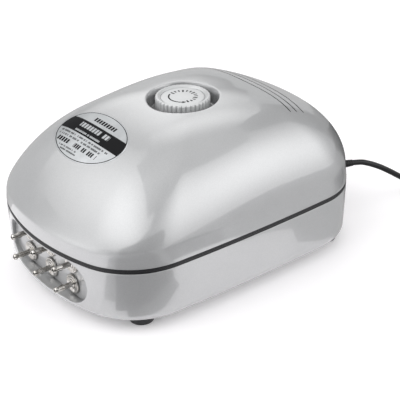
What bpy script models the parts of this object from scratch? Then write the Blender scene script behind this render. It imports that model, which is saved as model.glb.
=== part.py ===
"""Aquarium air pump: two diaphragm heads in a two-part case, with six air outlets and a flow control knob.

Frame: +Z up, the origin on the floor under the middle of the case, the air outlets facing -Y.
All lengths are in metres.
"""

import math

import bmesh
import bpy
from mathutils import Matrix, Vector

MM = 0.001
GAP = 0.3 * MM  # clearance between pieces that touch

# Case, seen from above: three arcs to a quarter, a little fuller at the front than at the rear.
HALF_LENGTH = 130 * MM
HALF_WIDTH = 92.4 * MM
SIDE_BOW = 1540 * MM
FRONT_BOW = 170.5 * MM
REAR_BOW = 108.7 * MM
FRONT_CORNER = 54.4 * MM
REAR_CORNER = 49 * MM
SIDE_STEPS, CORNER_STEPS, END_STEPS = 2, 5, 4

# Case, seen from the side.
FOOT_HEIGHT = 8.2 * MM
BASE_RIM_Z = 50.3 * MM
COVER_RIM_Z = 53.3 * MM
SKIRT_TOP_Z = 63.2 * MM
CREST_Z = 123.3 * MM
CREST_Y = 17.7 * MM
WALL = 3 * MM
BASE_DRAFT = 1 * MM
BASE_FILLET = 8 * MM
SKIRT_DRAFT = 1 * MM
DOME_RINGS = 8

# The dome's height is 1 - q**fullness, to the power 1/roundness, with q from 0 at the crest to 1 at the edge.
FRONT_FULLNESS, SIDE_FULLNESS, REAR_FULLNESS = 2.67, 3.0, 1.84
FRONT_ROUNDNESS, SIDE_ROUNDNESS, REAR_ROUNDNESS = 1.0, 2.0, 1.81
SIDE_SPREAD = 1.78

# Knob and its well.
KNOB_Y = 2.2 * MM
WELL_RADIUS = 27.1 * MM
WELL_FLOOR_Z = 110 * MM
KNOB_RADIUS = 20.4 * MM
KNOB_BOTTOM_Z = 112.2 * MM
KNOB_TOP_Z = 123.6 * MM
KNOB_SIDES = 44
CAP_RADIUS = 16.3 * MM
SPINDLE_RADIUS = 3 * MM

# Outlets, in a slot-shaped pocket in the front of the base.
OUTLET_PITCH_X = 28.3 * MM
OUTLET_ROWS_Z = (23.5 * MM, 40.4 * MM)
POCKET_FLOOR_Y = -118 * MM
POCKET_HALF_LENGTH = 50.5 * MM
POCKET_HALF_HEIGHT = 16.8 * MM
POCKET_Z = 31.3 * MM
NOZZLE_REACH = 16.1 * MM
NOZZLE_SHANK_RADIUS = 3 * MM
COLLAR_RADIUS = 7.4 * MM

# Feet and the screws that hold the case together through them.
FOOT_X, FOOT_Y = 66 * MM, 87.3 * MM
FOOT_RADIUS = 8.7 * MM
BOSS_RADIUS = 6 * MM
CASE_SCREW_RADIUS = 2 * MM

# Air intake under the base.
INTAKE_Y = 20 * MM
INTAKE_RADIUS = 18 * MM
INTAKE_SEAT_RADIUS = 22 * MM

# Mechanism on its chassis.
CHASSIS_Z = 24 * MM
CHASSIS_THICKNESS = 1.5 * MM
CHASSIS_TOP_Z = CHASSIS_Z + CHASSIS_THICKNESS
BUFFERS = ((58 * MM, -44 * MM), (58 * MM, 64 * MM))
CORE_BOTTOM_Z, CORE_TOP_Z = 42 * MM, 66 * MM
AXIS_Z = (CORE_BOTTOM_Z + CORE_TOP_Z) / 2
CORE_BACK_Y, CORE_POLE_Y = -12 * MM, 40 * MM
CORE_BOLT_X, CORE_BOLT_Y = 15 * MM, -6 * MM
SHEET = 1.5 * MM
BRACKET_BOTTOM_Z, BRACKET_TOP_Z = CHASSIS_TOP_Z + GAP, 71.5 * MM
ARM_X = 28.5 * MM
ARM_THICKNESS = 3 * MM
PIVOT_Y = -34 * MM
PIN_RADIUS = 2 * MM
HEAD_Y = 6 * MM
HEAD_X = 41.8 * MM
HEAD_DEPTH = 14 * MM
HEAD_HALF_WIDTH = 23 * MM
HEAD_TOP_Z = 77 * MM
HOSE_RADIUS = 4.5 * MM
HOSE_WALL = 1.6 * MM
SPIGOT_RADIUS = 2.6 * MM
SPIGOT_LENGTH = 11 * MM
MANIFOLD_HALF_WIDTH = 44 * MM
MANIFOLD_BACK_Y = -92 * MM
INLET_X, INLET_Z = 30 * MM, 38 * MM

# Control board under the well.
BOARD_Z = 96.9 * MM
BOARD_THICKNESS = 1.6 * MM

# Oval rating label on the front slope of the cover.
LABEL_CENTRE = (-13.7 * MM, -70.3 * MM)
LABEL_HALF_LENGTH = 37.9 * MM
LABEL_HALF_WIDTH = 20.4 * MM

# Mains lead: it leaves square to the rear wall, drops to the floor and is put away in a round coil.
CORD_RADIUS = 2.25 * MM
CORD_EXIT_X, CORD_EXIT_Z = 40 * MM, 41.5 * MM
BOOT_REACH = 14.5 * MM
COIL_CENTRE = Vector((93.4 * MM, 225 * MM, 0))
COIL_RADIUS = 26.6 * MM
COIL_HALF_WIDTH = 9.6 * MM
COIL_BOTTOM_Z = 0.8 * MM
COIL_HEIGHT = 9.4 * MM
# The route's own points, from the boot's tip to the coil.
CORD_ROUTE = [
    (45.3, 135.9, 41.5),
    (48.2, 143.6, 40.6),
    (50.5, 150.2, 38.1),
    (52.6, 156.8, 34.7),
    (54.5, 163.6, 30.5),
    (56.2, 170.8, 25.5),
    (57.6, 178.2, 20.1),
    (58.7, 185.6, 14.9),
    (59.5, 193.0, 10.4),
    (59.9, 200.6, 6.8),
]
PLUG_TAIL = Vector((129.4 * MM, 205 * MM, 6.8 * MM))

ROUND = 24  # sides of a middling round piece
SMALL_ROUND = 10


# -------------------------------------------------------------------------------------------------- tools


def clear_scene():
    for obj in list(bpy.data.objects):
        bpy.data.objects.remove(obj, do_unlink=True)


def new_collection(name):
    collection = bpy.data.collections.new(name)
    bpy.context.scene.collection.children.link(collection)
    return collection


def material(name, colour, roughness, metallic=0.0):
    made = bpy.data.materials.new(name)
    made.use_nodes = True
    shader = made.node_tree.nodes["Principled BSDF"]
    shader.inputs["Base Color"].default_value = (*colour, 1.0)
    shader.inputs["Roughness"].default_value = roughness
    shader.inputs["Metallic"].default_value = metallic
    return made


def make_materials():
    return {
        "silver_paint": material("silver_paint", (0.70, 0.71, 0.72), 0.28, 0.75),
        "black_rubber": material("black_rubber", (0.03, 0.03, 0.035), 0.75),
        "knob_plastic": material("knob_plastic", (0.72, 0.73, 0.73), 0.45, 0.3),
        "nickel": material("nickel", (0.78, 0.75, 0.68), 0.16, 1.0),
        "steel": material("steel", (0.62, 0.62, 0.63), 0.35, 1.0),
        "laminations": material("laminations", (0.30, 0.30, 0.32), 0.5, 0.9),
        "copper": material("copper", (0.72, 0.35, 0.18), 0.35, 1.0),
        "white_plastic": material("white_plastic", (0.85, 0.85, 0.82), 0.5),
        "board_green": material("board_green", (0.05, 0.28, 0.12), 0.5),
        "magnet": material("magnet", (0.10, 0.10, 0.11), 0.55, 0.4),
        "hose_silicone": material("hose_silicone", (0.75, 0.72, 0.66), 0.55),
        "felt": material("felt", (0.80, 0.80, 0.76), 0.95),
        "label_film": material("label_film", (0.80, 0.83, 0.84), 0.3),
        "wire_blue": material("wire_blue", (0.08, 0.18, 0.55), 0.5),
    }


def add(name, mesh, finish, parent=None, place=(0, 0, 0), turn=(0, 0, 0)):
    """Puts a mesh or curve in the scene as one named piece. With no finish it is a helper."""
    obj = bpy.data.objects.new(name, mesh)
    obj.location = place
    obj.rotation_euler = turn
    if finish is None:
        CUTTERS.objects.link(obj)
        obj.hide_render = True
        obj.display_type = "WIRE"
    else:
        PUMP.objects.link(obj)
        mesh.materials.append(MATERIALS[finish])
    if parent is not None:
        obj.parent = parent
        obj.location = Vector(place) - parent.location
    return obj


def pivot(name, place):
    """An empty on a joint's axis, which its moving pieces are parented to."""
    empty = bpy.data.objects.new(name, None)
    empty.location = place
    PUMP.objects.link(empty)
    return empty


def mesh_from(bm, name):
    mesh = bpy.data.meshes.new(name)
    bm.to_mesh(mesh)
    bm.free()
    return mesh


def smooth(obj, angle=35):
    obj.data.shade_smooth()
    obj.data.set_sharp_from_angle(angle=math.radians(angle))
    return obj


def box(name, low, high, finish, bevel=0.0, parent=None):
    """A box between two corners, with its origin at its middle."""
    low, high = Vector(low), Vector(high)
    bm = bmesh.new()
    bmesh.ops.create_cube(bm, size=1.0)
    bmesh.ops.scale(bm, vec=high - low, verts=bm.verts)
    obj = add(name, mesh_from(bm, name), finish, parent, (low + high) / 2)
    if bevel:
        modifier = obj.modifiers.new("rounded_edges", "BEVEL")
        modifier.width = bevel
        modifier.segments = 1
    return obj


AXIS_TURNS = {"X": Matrix.Rotation(math.pi / 2, 4, "Y"), "Y": Matrix.Rotation(-math.pi / 2, 4, "X")}


def cylinders(name, ends, radius, finish, sides=ROUND, axis="Z", parent=None):
    """One cylinder for each (middle of the start, length), all along one axis, in one object."""
    bm = bmesh.new()
    for start, length in ends:
        turn = AXIS_TURNS.get(axis, Matrix.Identity(4))
        middle = Vector(start) + turn @ Vector((0, 0, length / 2))
        bmesh.ops.create_cone(
            bm,
            cap_ends=True,
            segments=sides,
            radius1=radius,
            radius2=radius,
            depth=length,
            matrix=Matrix.Translation(middle) @ turn,
        )
    return add(name, mesh_from(bm, name), finish, parent)


def turned(name, profile, finish, place=(0, 0, 0), turn=(0, 0, 0), steps=ROUND, parent=None, loop=False):
    """A turned piece from (radius, height) points that run down its outer side. A loop has a bore."""
    bm = bmesh.new()
    points = [bm.verts.new((radius, 0, height)) for radius, height in profile]
    for start, end in zip(points, points[1:] + points[:1] if loop else points[1:]):
        bm.edges.new((start, end))
    obj = add(name, mesh_from(bm, name), finish, parent, place, turn)
    screw = obj.modifiers.new("turned", "SCREW")
    screw.steps = screw.render_steps = steps
    screw.use_merge_vertices = True
    screw.merge_threshold = 0.00001
    screw.use_smooth_shade = True
    return obj


def loft(name, rings, finish, closed=False):
    """A solid through rings of equally many points. It is capped at both ends, or joined into a band."""
    bm = bmesh.new()
    rows = [[bm.verts.new(point) for point in ring] for ring in rings]
    pairs = list(zip(rows, rows[1:])) + ([(rows[-1], rows[0])] if closed else [])
    count = len(rings[0])
    for low, high in pairs:
        for i in range(count):
            j = (i + 1) % count
            bm.faces.new((low[i], low[j], high[j], high[i]))
    if not closed:
        bm.faces.new(rows[0][::-1])
        bm.faces.new(rows[-1])
    bmesh.ops.recalc_face_normals(bm, faces=bm.faces)
    return smooth(add(name, mesh_from(bm, name), finish))


def smooth_route(points, spacing):
    """Points a set distance apart along a Catmull-Rom curve through the route's own points."""
    ends = [2 * points[0] - points[1], *points, 2 * points[-1] - points[-2]]
    fine = []
    for a, b, c, d in zip(ends, ends[1:], ends[2:], ends[3:]):
        for step in range(24):
            t = step / 24
            fine.append(
                0.5
                * (2 * b + (c - a) * t + (2 * a - 5 * b + 4 * c - d) * t**2 + (3 * b - a - 3 * c + d) * t**3)
            )
    fine.append(points[-1])
    chosen, walked = [fine[0]], 0.0
    for before, after in zip(fine, fine[1:]):
        walked += (after - before).length
        if walked >= spacing:
            chosen.append(after)
            walked = 0.0
    if (chosen[-1] - fine[-1]).length < spacing / 2:
        chosen.pop()
    return [*chosen, fine[-1]]


def tube_curve(name, routes, radius, resolution=2, caps=True):
    curve = bpy.data.curves.new(name, "CURVE")
    curve.dimensions = "3D"
    curve.bevel_depth = radius
    curve.bevel_resolution = resolution
    curve.use_fill_caps = caps
    for route in routes:
        spline = curve.splines.new("POLY")
        spline.points.add(len(route) - 1)
        for target, point in zip(spline.points, route):
            target.co = (*point, 1)
    return curve


def wires(name, routes, radius, finish, spacing, resolution=2):
    """Round wires or cords along smooth routes."""
    curve = tube_curve(name, [smooth_route(points, spacing) for points in routes], radius, resolution)
    return add(name, curve, finish)


def hose(name, route, finish):
    """A hollow hose along a smooth route."""
    curve = tube_curve(name, [smooth_route(route, 12 * MM)], HOSE_RADIUS, 2, caps=False)
    guide = bpy.data.objects.new(name, curve)
    CUTTERS.objects.link(guide)
    bpy.context.view_layer.update()
    mesh = bpy.data.meshes.new_from_object(guide.evaluated_get(bpy.context.evaluated_depsgraph_get()))
    bpy.data.objects.remove(guide)
    obj = add(name, mesh, finish)
    wall = obj.modifiers.new("wall", "SOLIDIFY")
    wall.thickness = HOSE_WALL
    wall.offset = -1
    return smooth(obj)


def boolean(target, other, operation):
    modifier = target.modifiers.new(other.name, "BOOLEAN")
    modifier.operation = operation
    modifier.object = other
    return target


def cut(target, *cutters):
    for cutter in cutters:
        boolean(target, cutter, "DIFFERENCE")
    return target


def join(target, *others):
    for other in others:
        boolean(target, other, "UNION")
    return target


def screw_profile(head_radius, head_height, radius, length):
    """A screw with its point down, and its head above height 0."""
    return [
        (0, head_height),
        (head_radius * 0.75, head_height),
        (head_radius, head_height * 0.55),
        (head_radius, 0),
        (radius, 0),
        (radius, -length + radius),
        (0, -length),
    ]


# --------------------------------------------------------------------------------------------------- case


def quarter_arcs(end_bow, corner):
    """(centre, radius, start angle, end angle, steps) of a quarter's arcs, from +X round to +Y."""
    side_centre = Vector((HALF_WIDTH - SIDE_BOW, 0))
    end_centre = Vector((0, HALF_LENGTH - end_bow))
    # The corner's centre is where circles of the bows' radii less the corner's cross.
    between = end_centre - side_centre
    to_side, to_end = SIDE_BOW - corner, end_bow - corner
    along = (between.length**2 + to_side**2 - to_end**2) / (2 * between.length)
    across = math.sqrt(to_side**2 - along**2)
    unit = between.normalized()
    corner_centre = side_centre + unit * along + Vector((-unit.y, unit.x)) * across
    first = (corner_centre - side_centre).angle_signed(Vector((1, 0)))
    second = (corner_centre - end_centre).angle_signed(Vector((1, 0)))
    return [
        (side_centre, SIDE_BOW, 0, first, SIDE_STEPS),
        (corner_centre, corner, first, second, CORNER_STEPS),
        (end_centre, end_bow, second, math.pi / 2, END_STEPS),
    ]


def quarter_outline(end_bow, corner, inset):
    points = []
    for centre, radius, start, end, steps in quarter_arcs(end_bow, corner):
        for step in range(steps):
            angle = start + (end - start) * step / steps
            points.append(centre + (radius - inset) * Vector((math.cos(angle), math.sin(angle))))
    return points


def outline(inset=0.0):
    """The case's outline in X and Y, moved inwards by inset, anticlockwise from +X."""
    rear = quarter_outline(REAR_BOW, REAR_CORNER, inset)
    front = quarter_outline(FRONT_BOW, FRONT_CORNER, inset)
    top = Vector((0, HALF_LENGTH - inset))
    points = rear + [top] + [Vector((-p.x, p.y)) for p in rear[:0:-1]]
    points += [Vector((-p.x, -p.y)) for p in front] + [-top] + [Vector((p.x, -p.y)) for p in front[:0:-1]]
    return points


def ring(inset, height):
    return [(x, y, height) for x, y in outline(inset)]


def spread(direction, front, side, rear):
    """A value that changes smoothly round the dome, from its front to its sides to its rear."""
    share = abs(direction.y) ** SIDE_SPREAD
    return side + ((front if direction.y < 0 else rear) - side) * share


def dome_ring(edge, q, skirt_z, crest_z):
    """The dome's points at share q of the way from the crest to the edge."""
    crest = Vector((0, CREST_Y))
    points = []
    for point in edge:
        away = point - crest
        direction = away.normalized()
        fullness = spread(direction, FRONT_FULLNESS, SIDE_FULLNESS, REAR_FULLNESS)
        roundness = spread(direction, FRONT_ROUNDNESS, SIDE_ROUNDNESS, REAR_ROUNDNESS)
        share = (1 - q**fullness) ** (1 / roundness)
        x, y = crest + away * q
        points.append((x, y, skirt_z + (crest_z - skirt_z) * share))
    return points


def dome_rings(inset, skirt_z, crest_z, count):
    """Rings from the skirt's top to just short of the crest, evenly spread over the dome's height."""
    edge = outline(inset)
    shares = [math.sin(math.pi / 2 * (1 - step / count)) for step in range(count)]
    return [dome_ring(edge, q, skirt_z, crest_z) for q in shares] + [dome_ring(edge, 0.02, skirt_z, crest_z)]


def dome_height(x, y):
    """Height of the cover's outside above a point."""
    crest = Vector((0, CREST_Y))
    away = Vector((x, y)) - crest
    direction = away.normalized()
    reach = 0.0
    edge = outline(SKIRT_DRAFT)
    for start, end in zip(edge, edge[1:] + edge[:1]):
        side = end - start
        bottom = direction.x * side.y - direction.y * side.x
        if abs(bottom) < 1e-12:
            continue
        to_start = start - crest
        distance = (to_start.x * side.y - to_start.y * side.x) / bottom
        share = (to_start.x * direction.y - to_start.y * direction.x) / bottom
        if distance > 0 and -1e-9 <= share <= 1 + 1e-9:
            reach = max(reach, distance)
    q = min(away.length / reach, 1.0)
    fullness = spread(direction, FRONT_FULLNESS, SIDE_FULLNESS, REAR_FULLNESS)
    roundness = spread(direction, FRONT_ROUNDNESS, SIDE_ROUNDNESS, REAR_ROUNDNESS)
    return SKIRT_TOP_Z + (CREST_Z - SKIRT_TOP_Z) * (1 - q**fullness) ** (1 / roundness)


def corners(x, y):
    return [(x, y), (-x, y), (-x, -y), (x, -y)]


def make_cover():
    cover = loft(
        "top_cover",
        [ring(0, COVER_RIM_Z), *dome_rings(SKIRT_DRAFT, SKIRT_TOP_Z, CREST_Z, DOME_RINGS)],
        "silver_paint",
    )
    inner_crest = CREST_Z - WALL
    hollow = loft(
        "cover_hollow",
        [
            ring(WALL, COVER_RIM_Z - 5 * MM),
            ring(WALL, COVER_RIM_Z),
            *dome_rings(SKIRT_DRAFT + WALL, SKIRT_TOP_Z, inner_crest, DOME_RINGS - 2),
        ],
        None,
    )
    posts = [((x, y, COVER_RIM_Z), 80 * MM) for x, y in corners(FOOT_X, FOOT_Y)]
    cut(
        hollow,
        cylinders("cover_bosses", posts, BOSS_RADIUS, None),
        cylinders("well_cup", [((0, KNOB_Y, WELL_FLOOR_Z - WALL), 40 * MM)], WELL_RADIUS + WALL, None),
    )
    pilots = [((x, y, COVER_RIM_Z - 10 * MM), 34 * MM) for x, y in corners(FOOT_X, FOOT_Y)]
    cut(
        cover,
        hollow,
        cylinders("well_cavity", [((0, KNOB_Y, WELL_FLOOR_Z), 40 * MM)], WELL_RADIUS, None, 40),
        cylinders("spindle_hole", [((0, KNOB_Y, WELL_FLOOR_Z - 9 * MM), 20 * MM)], 4.9 * MM, None),
        cylinders("boss_pilots", pilots, CASE_SCREW_RADIUS + GAP, None, SMALL_ROUND),
    )
    return cover


def fillet_rings(inset, low, radius, steps):
    """Rings up the rounded bottom edge of the base."""
    rings = []
    for step in range(steps + 1):
        angle = math.pi / 2 * (1 - step / steps)
        rings.append(ring(inset + radius * (1 - math.cos(angle)), low + radius * (1 - math.sin(angle))))
    return rings


def slot_outline(half_length, half_height, steps=10):
    """A slot with round ends, in X and height, about its own middle."""
    points = []
    straight = half_length - half_height
    for side, start in ((1, -math.pi / 2), (-1, math.pi / 2)):
        for step in range(steps + 1):
            angle = start + math.pi * step / steps
            points.append((side * straight + half_height * math.cos(angle), half_height * math.sin(angle)))
    return points


def slot_block(name, grow, front_y, back_y):
    """A block of the pocket's outline, between two planes across Y."""
    points = slot_outline(POCKET_HALF_LENGTH + grow, POCKET_HALF_HEIGHT + grow)
    return loft(name, [[(x, y, POCKET_Z + z) for x, z in points] for y in (front_y, back_y)], None)


def outlet_places():
    return [(column * OUTLET_PITCH_X, z) for z in OUTLET_ROWS_Z for column in (-1, 0, 1)]


def wall_frame():
    """Where the mains lead leaves the rear wall, and the wall's outward direction there."""
    centre = Vector((0, HALF_LENGTH - REAR_BOW))
    across = CORD_EXIT_X
    point = centre + Vector((across, math.sqrt(REAR_BOW**2 - across**2)))
    outward = (point - centre).normalized()
    return Vector((point.x, point.y, CORD_EXIT_Z)), Vector((outward.x, outward.y, 0))


def make_base():
    bottom = FOOT_HEIGHT
    base = loft(
        "base_shell",
        [*fillet_rings(BASE_DRAFT, bottom, BASE_FILLET, 3), ring(0, BASE_RIM_Z)],
        "silver_paint",
    )
    hollow = loft(
        "base_hollow",
        [
            *fillet_rings(BASE_DRAFT + WALL, bottom + WALL, BASE_FILLET - WALL, 2),
            ring(WALL, BASE_RIM_Z),
            ring(WALL, BASE_RIM_Z + 5 * MM),
        ],
        None,
    )
    posts = [((x, y, bottom + 1 * MM), BASE_RIM_Z - bottom - 1 * MM) for x, y in corners(FOOT_X, FOOT_Y)]
    cut(
        hollow,
        cylinders("base_bosses", posts, BOSS_RADIUS, None),
        slot_block("pocket_wall", WALL, -140 * MM, POCKET_FLOOR_Y + WALL),
    )
    through = [((x, y, 0), 60 * MM) for x, y in corners(FOOT_X, FOOT_Y)]
    ports = [((x, POCKET_FLOOR_Y - 5 * MM, z), 15 * MM) for x, z in outlet_places()]
    place, outward = wall_frame()
    cord_hole = cylinders("cord_hole", [((0, 0, -12 * MM), 24 * MM)], 4.8 * MM, None)
    cord_hole.location = place
    cord_hole.rotation_euler = outward.to_track_quat("Z", "Y").to_euler()
    cut(
        base,
        hollow,
        slot_block("pocket_cavity", 0, -145 * MM, POCKET_FLOOR_Y),
        cylinders("boss_holes", through, CASE_SCREW_RADIUS + GAP, None, SMALL_ROUND),
        cylinders("outlet_holes", ports, NOZZLE_SHANK_RADIUS + GAP, None, SMALL_ROUND, "Y"),
        cylinders("intake_hole", [((0, INTAKE_Y, 0), 20 * MM)], INTAKE_RADIUS, None),
        cylinders("intake_seat", [((0, INTAKE_Y, 5 * MM), bottom - 3.4 * MM)], INTAKE_SEAT_RADIUS, None),
        cord_hole,
    )
    return base


def make_gasket():
    low, high = BASE_RIM_Z + GAP, COVER_RIM_Z - GAP
    outer, inner = 0.5 * MM, 6.2 * MM
    rings = [ring(outer, low), ring(outer, high), ring(inner, high), ring(inner, low)]
    return loft("seam_gasket", rings, "black_rubber", True)


def make_feet():
    top = FOOT_HEIGHT - GAP
    profile = [
        (CASE_SCREW_RADIUS + GAP, top),
        (10.2 * MM, top),
        (FOOT_RADIUS, 0),
        (5.2 * MM, 0),
        (5.2 * MM, 4 * MM),
        (CASE_SCREW_RADIUS + GAP, 4 * MM),
    ]
    names = ("foot_rear_right", "foot_rear_left", "foot_front_left", "foot_front_right")
    for name, (x, y) in zip(names, corners(FOOT_X, FOOT_Y)):
        turned(name, profile, "black_rubber", (x, y, 0), steps=18, loop=True)


def make_case_screws():
    """Long screws, heads down inside the feet, up through the base into the cover's bosses."""
    profile = screw_profile(4 * MM, 2.4 * MM, CASE_SCREW_RADIUS, 66 * MM)
    for number, (x, y) in enumerate(corners(FOOT_X, FOOT_Y), start=1):
        turned(f"case_screw_{number}", profile, "steel", (x, y, 3.7 * MM), (math.pi, 0, 0), SMALL_ROUND)


def make_intake():
    """Slotted filter cover under the base, with the felt pad that it holds."""
    low = FOOT_HEIGHT + 0.2 * MM
    profile = [
        (0, low + 1.2 * MM),
        (INTAKE_SEAT_RADIUS - GAP, low + 1.2 * MM),
        (INTAKE_SEAT_RADIUS - GAP, low),
        (0, low),
    ]
    cover = turned("filter_cover", profile, "silver_paint", (0, INTAKE_Y, 0))
    bm = bmesh.new()
    for slot in range(8):
        angle = 2 * math.pi * slot / 8
        turn = Matrix.Rotation(angle, 4, "Z") @ Matrix.Translation((9 * MM, 0, low))
        matrix = Matrix.Translation((0, INTAKE_Y, 0)) @ turn @ Matrix.Diagonal((9 * MM, 1.8 * MM, 8 * MM, 1))
        bmesh.ops.create_cube(bm, size=1.0, matrix=matrix)
    cut(cover, add("filter_slots", mesh_from(bm, "filter_slots"), None))
    pad = [((0, INTAKE_Y, low + 1.5 * MM), 5 * MM)]
    cylinders("filter_felt", pad, INTAKE_RADIUS - GAP, "felt")


# ------------------------------------------------------------------------------------------------ outlets


def make_outlets():
    """Six barbed nozzles, each with a round collar against the pocket's floor."""
    bore = 1.2 * MM
    reach = NOZZLE_REACH
    nozzle = [
        (bore, reach),
        (1.9 * MM, reach),
        (2.4 * MM, reach - 1.6 * MM),
        (1.75 * MM, reach - 3 * MM),
        (2.45 * MM, reach - 7.2 * MM),
        (2.0 * MM, reach - 8.4 * MM),
        (2.0 * MM, 2 * MM),
        (COLLAR_RADIUS, 1.4 * MM),
        (COLLAR_RADIUS, GAP),
        (NOZZLE_SHANK_RADIUS, GAP),
        (NOZZLE_SHANK_RADIUS, -8 * MM),
        (bore, -8 * MM),
    ]
    facing_front = (math.pi / 2, 0, 0)
    for number, (x, z) in enumerate(outlet_places(), start=1):
        place = (x, POCKET_FLOOR_Y, z)
        turned(f"outlet_nozzle_{number}", nozzle, "nickel", place, facing_front, SMALL_ROUND, loop=True)


def make_manifold():
    """Box that shares the air of both heads out to the six nozzles."""
    front = POCKET_FLOOR_Y + WALL + GAP
    low, high = FOOT_HEIGHT + WALL + GAP, 49 * MM
    manifold = box(
        "outlet_manifold",
        (-MANIFOLD_HALF_WIDTH, front, low),
        (MANIFOLD_HALF_WIDTH, MANIFOLD_BACK_Y, high),
        "white_plastic",
    )
    root_y = MANIFOLD_BACK_Y - 1 * MM
    inlets = [((side * INLET_X, root_y, INLET_Z), SPIGOT_LENGTH + 1 * MM) for side in (-1, 1)]
    inlet_bores = [((x, y - 4 * MM, z), SPIGOT_LENGTH + 10 * MM) for (x, y, z), _ in inlets]
    ports = [((x, front - 5 * MM, z), 12 * MM) for x, z in outlet_places()]
    join(manifold, cylinders("inlet_spigots", inlets, SPIGOT_RADIUS, None, SMALL_ROUND, "Y"))
    cut(
        manifold,
        box(
            "manifold_hollow",
            (-MANIFOLD_HALF_WIDTH + WALL, front + WALL, low + WALL),
            (MANIFOLD_HALF_WIDTH - WALL, MANIFOLD_BACK_Y - WALL, high - WALL),
            None,
        ),
        cylinders("inlet_bores", inlet_bores, 1.5 * MM, None, SMALL_ROUND, "Y"),
        cylinders("manifold_ports", ports, NOZZLE_SHANK_RADIUS + GAP, None, SMALL_ROUND, "Y"),
    )


# --------------------------------------------------------------------------------------------------- knob


def make_knob(axis):
    centre = Vector((0, KNOB_Y, 0))
    outside = [
        (0, KNOB_TOP_Z),
        (KNOB_RADIUS - 1.6 * MM, KNOB_TOP_Z),
        (KNOB_RADIUS, KNOB_TOP_Z - 1.4 * MM),
        (KNOB_RADIUS, KNOB_BOTTOM_Z),
        (0, KNOB_BOTTOM_Z),
    ]
    knob = turned("control_knob", outside, "knob_plastic", centre, steps=KNOB_SIDES, parent=axis)
    hollow_top = KNOB_TOP_Z - 4.5 * MM
    skirt = [
        (KNOB_RADIUS - 3.4 * MM, hollow_top),
        (KNOB_RADIUS - 3.4 * MM, KNOB_BOTTOM_Z - 5 * MM),
        (5.4 * MM, KNOB_BOTTOM_Z - 5 * MM),
        (5.4 * MM, hollow_top),
    ]
    bore = [((0, KNOB_Y, KNOB_BOTTOM_Z - 5 * MM), hollow_top - KNOB_BOTTOM_Z + 5 * MM)]
    hub_end = [((0, KNOB_Y, KNOB_BOTTOM_Z - 5 * MM), 6.2 * MM)]
    seat = [((0, KNOB_Y, KNOB_TOP_Z - 1.6 * MM), 10 * MM)]
    cut(
        knob,
        turned("knob_hollow", skirt, None, centre, steps=ROUND, loop=True),
        cylinders("knob_hub_end", hub_end, 7.5 * MM, None),
        cylinders("knob_bore", bore, SPINDLE_RADIUS + GAP, None),
        cylinders("cap_seat", seat, CAP_RADIUS + GAP, None),
    )
    cap = [
        (0, KNOB_TOP_Z + 0.3 * MM),
        (CAP_RADIUS, KNOB_TOP_Z + 0.3 * MM),
        (CAP_RADIUS, KNOB_TOP_Z - 1.3 * MM),
        (0, KNOB_TOP_Z - 1.3 * MM),
    ]
    turned("knob_cap", cap, "knob_plastic", centre, parent=axis)
    spindle_low = BOARD_Z + 4.5 * MM
    spindle = [((0, 0, spindle_low), hollow_top - GAP - spindle_low)]
    cylinders("knob_spindle", spindle, SPINDLE_RADIUS, "steel", parent=axis).location = (0, 0, 0)


def make_control():
    """Potentiometer that the knob works, hung from the well, with its board soldered under it."""
    top = BOARD_Z + BOARD_THICKNESS
    well_under = WELL_FLOOR_Z - WALL
    bore = SPINDLE_RADIUS + GAP
    low = top + GAP
    body = [
        (0, low + 2 * MM),
        (bore, low + 2 * MM),
        (bore, 111.4 * MM),
        (4.5 * MM, 111.4 * MM),
        (4.5 * MM, well_under - GAP),
        (8.2 * MM, well_under - GAP),
        (8.2 * MM, low),
        (0, low),
    ]
    turned("potentiometer", body, "steel", (0, KNOB_Y, 0))
    board = box("control_board", (-31 * MM, -14 * MM, BOARD_Z), (31 * MM, 38 * MM, top), "board_green")
    under = BOARD_Z + BOARD_THICKNESS / 2
    join(board, box("board_capacitor", (-18 * MM, 14 * MM, under - 12 * MM), (0, 22 * MM, under), None))
    join(board, box("board_triac", (8 * MM, 12 * MM, under - 14 * MM), (18 * MM, 16.5 * MM, under), None))


# ---------------------------------------------------------------------------------------------- mechanism


def make_chassis():
    """Plate with two pressed-in posts for the core, on four rubber buffers with moulded-in studs."""
    plate = box(
        "chassis_plate",
        (-72 * MM, -54 * MM, CHASSIS_Z),
        (72 * MM, 74 * MM, CHASSIS_TOP_Z),
        "steel",
    )
    spots = [(side * x, y) for side in (-1, 1) for x, y in BUFFERS]
    bolts = [(side * CORE_BOLT_X, CORE_BOLT_Y) for side in (-1, 1)]
    post_low = CHASSIS_Z + CHASSIS_THICKNESS / 2
    posts = [((x, y, post_low), CORE_BOTTOM_Z - GAP - post_low) for x, y in bolts]
    join(plate, cylinders("core_posts", posts, 4.5 * MM, None, 16))
    holes = [((x, y, CHASSIS_Z - 5 * MM), 30 * MM) for x, y in spots + bolts]
    cut(plate, cylinders("chassis_holes", holes, 2.3 * MM, None, SMALL_ROUND))
    low, high = FOOT_HEIGHT + WALL + GAP, CHASSIS_Z - GAP
    profile = [
        (0, CHASSIS_TOP_Z + 3 * MM),
        (2 * MM, CHASSIS_TOP_Z + 3 * MM),
        (2 * MM, high),
        (7 * MM, high),
        (7 * MM, high - 3 * MM),
        (5.4 * MM, (low + high) / 2),
        (7 * MM, low + 3 * MM),
        (7 * MM, low),
        (0, low),
    ]
    for number, (x, y) in enumerate(spots, start=1):
        turned(f"chassis_buffer_{number}", profile, "black_rubber", (x, y, 0), steps=SMALL_ROUND)


def leg_passage(name, half_x, half_z):
    """The room for the core's middle leg, right through the coil."""
    return box(name, (-half_x, -9 * MM, AXIS_Z - half_z), (half_x, 60 * MM, AXIS_Z + half_z), None)


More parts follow.
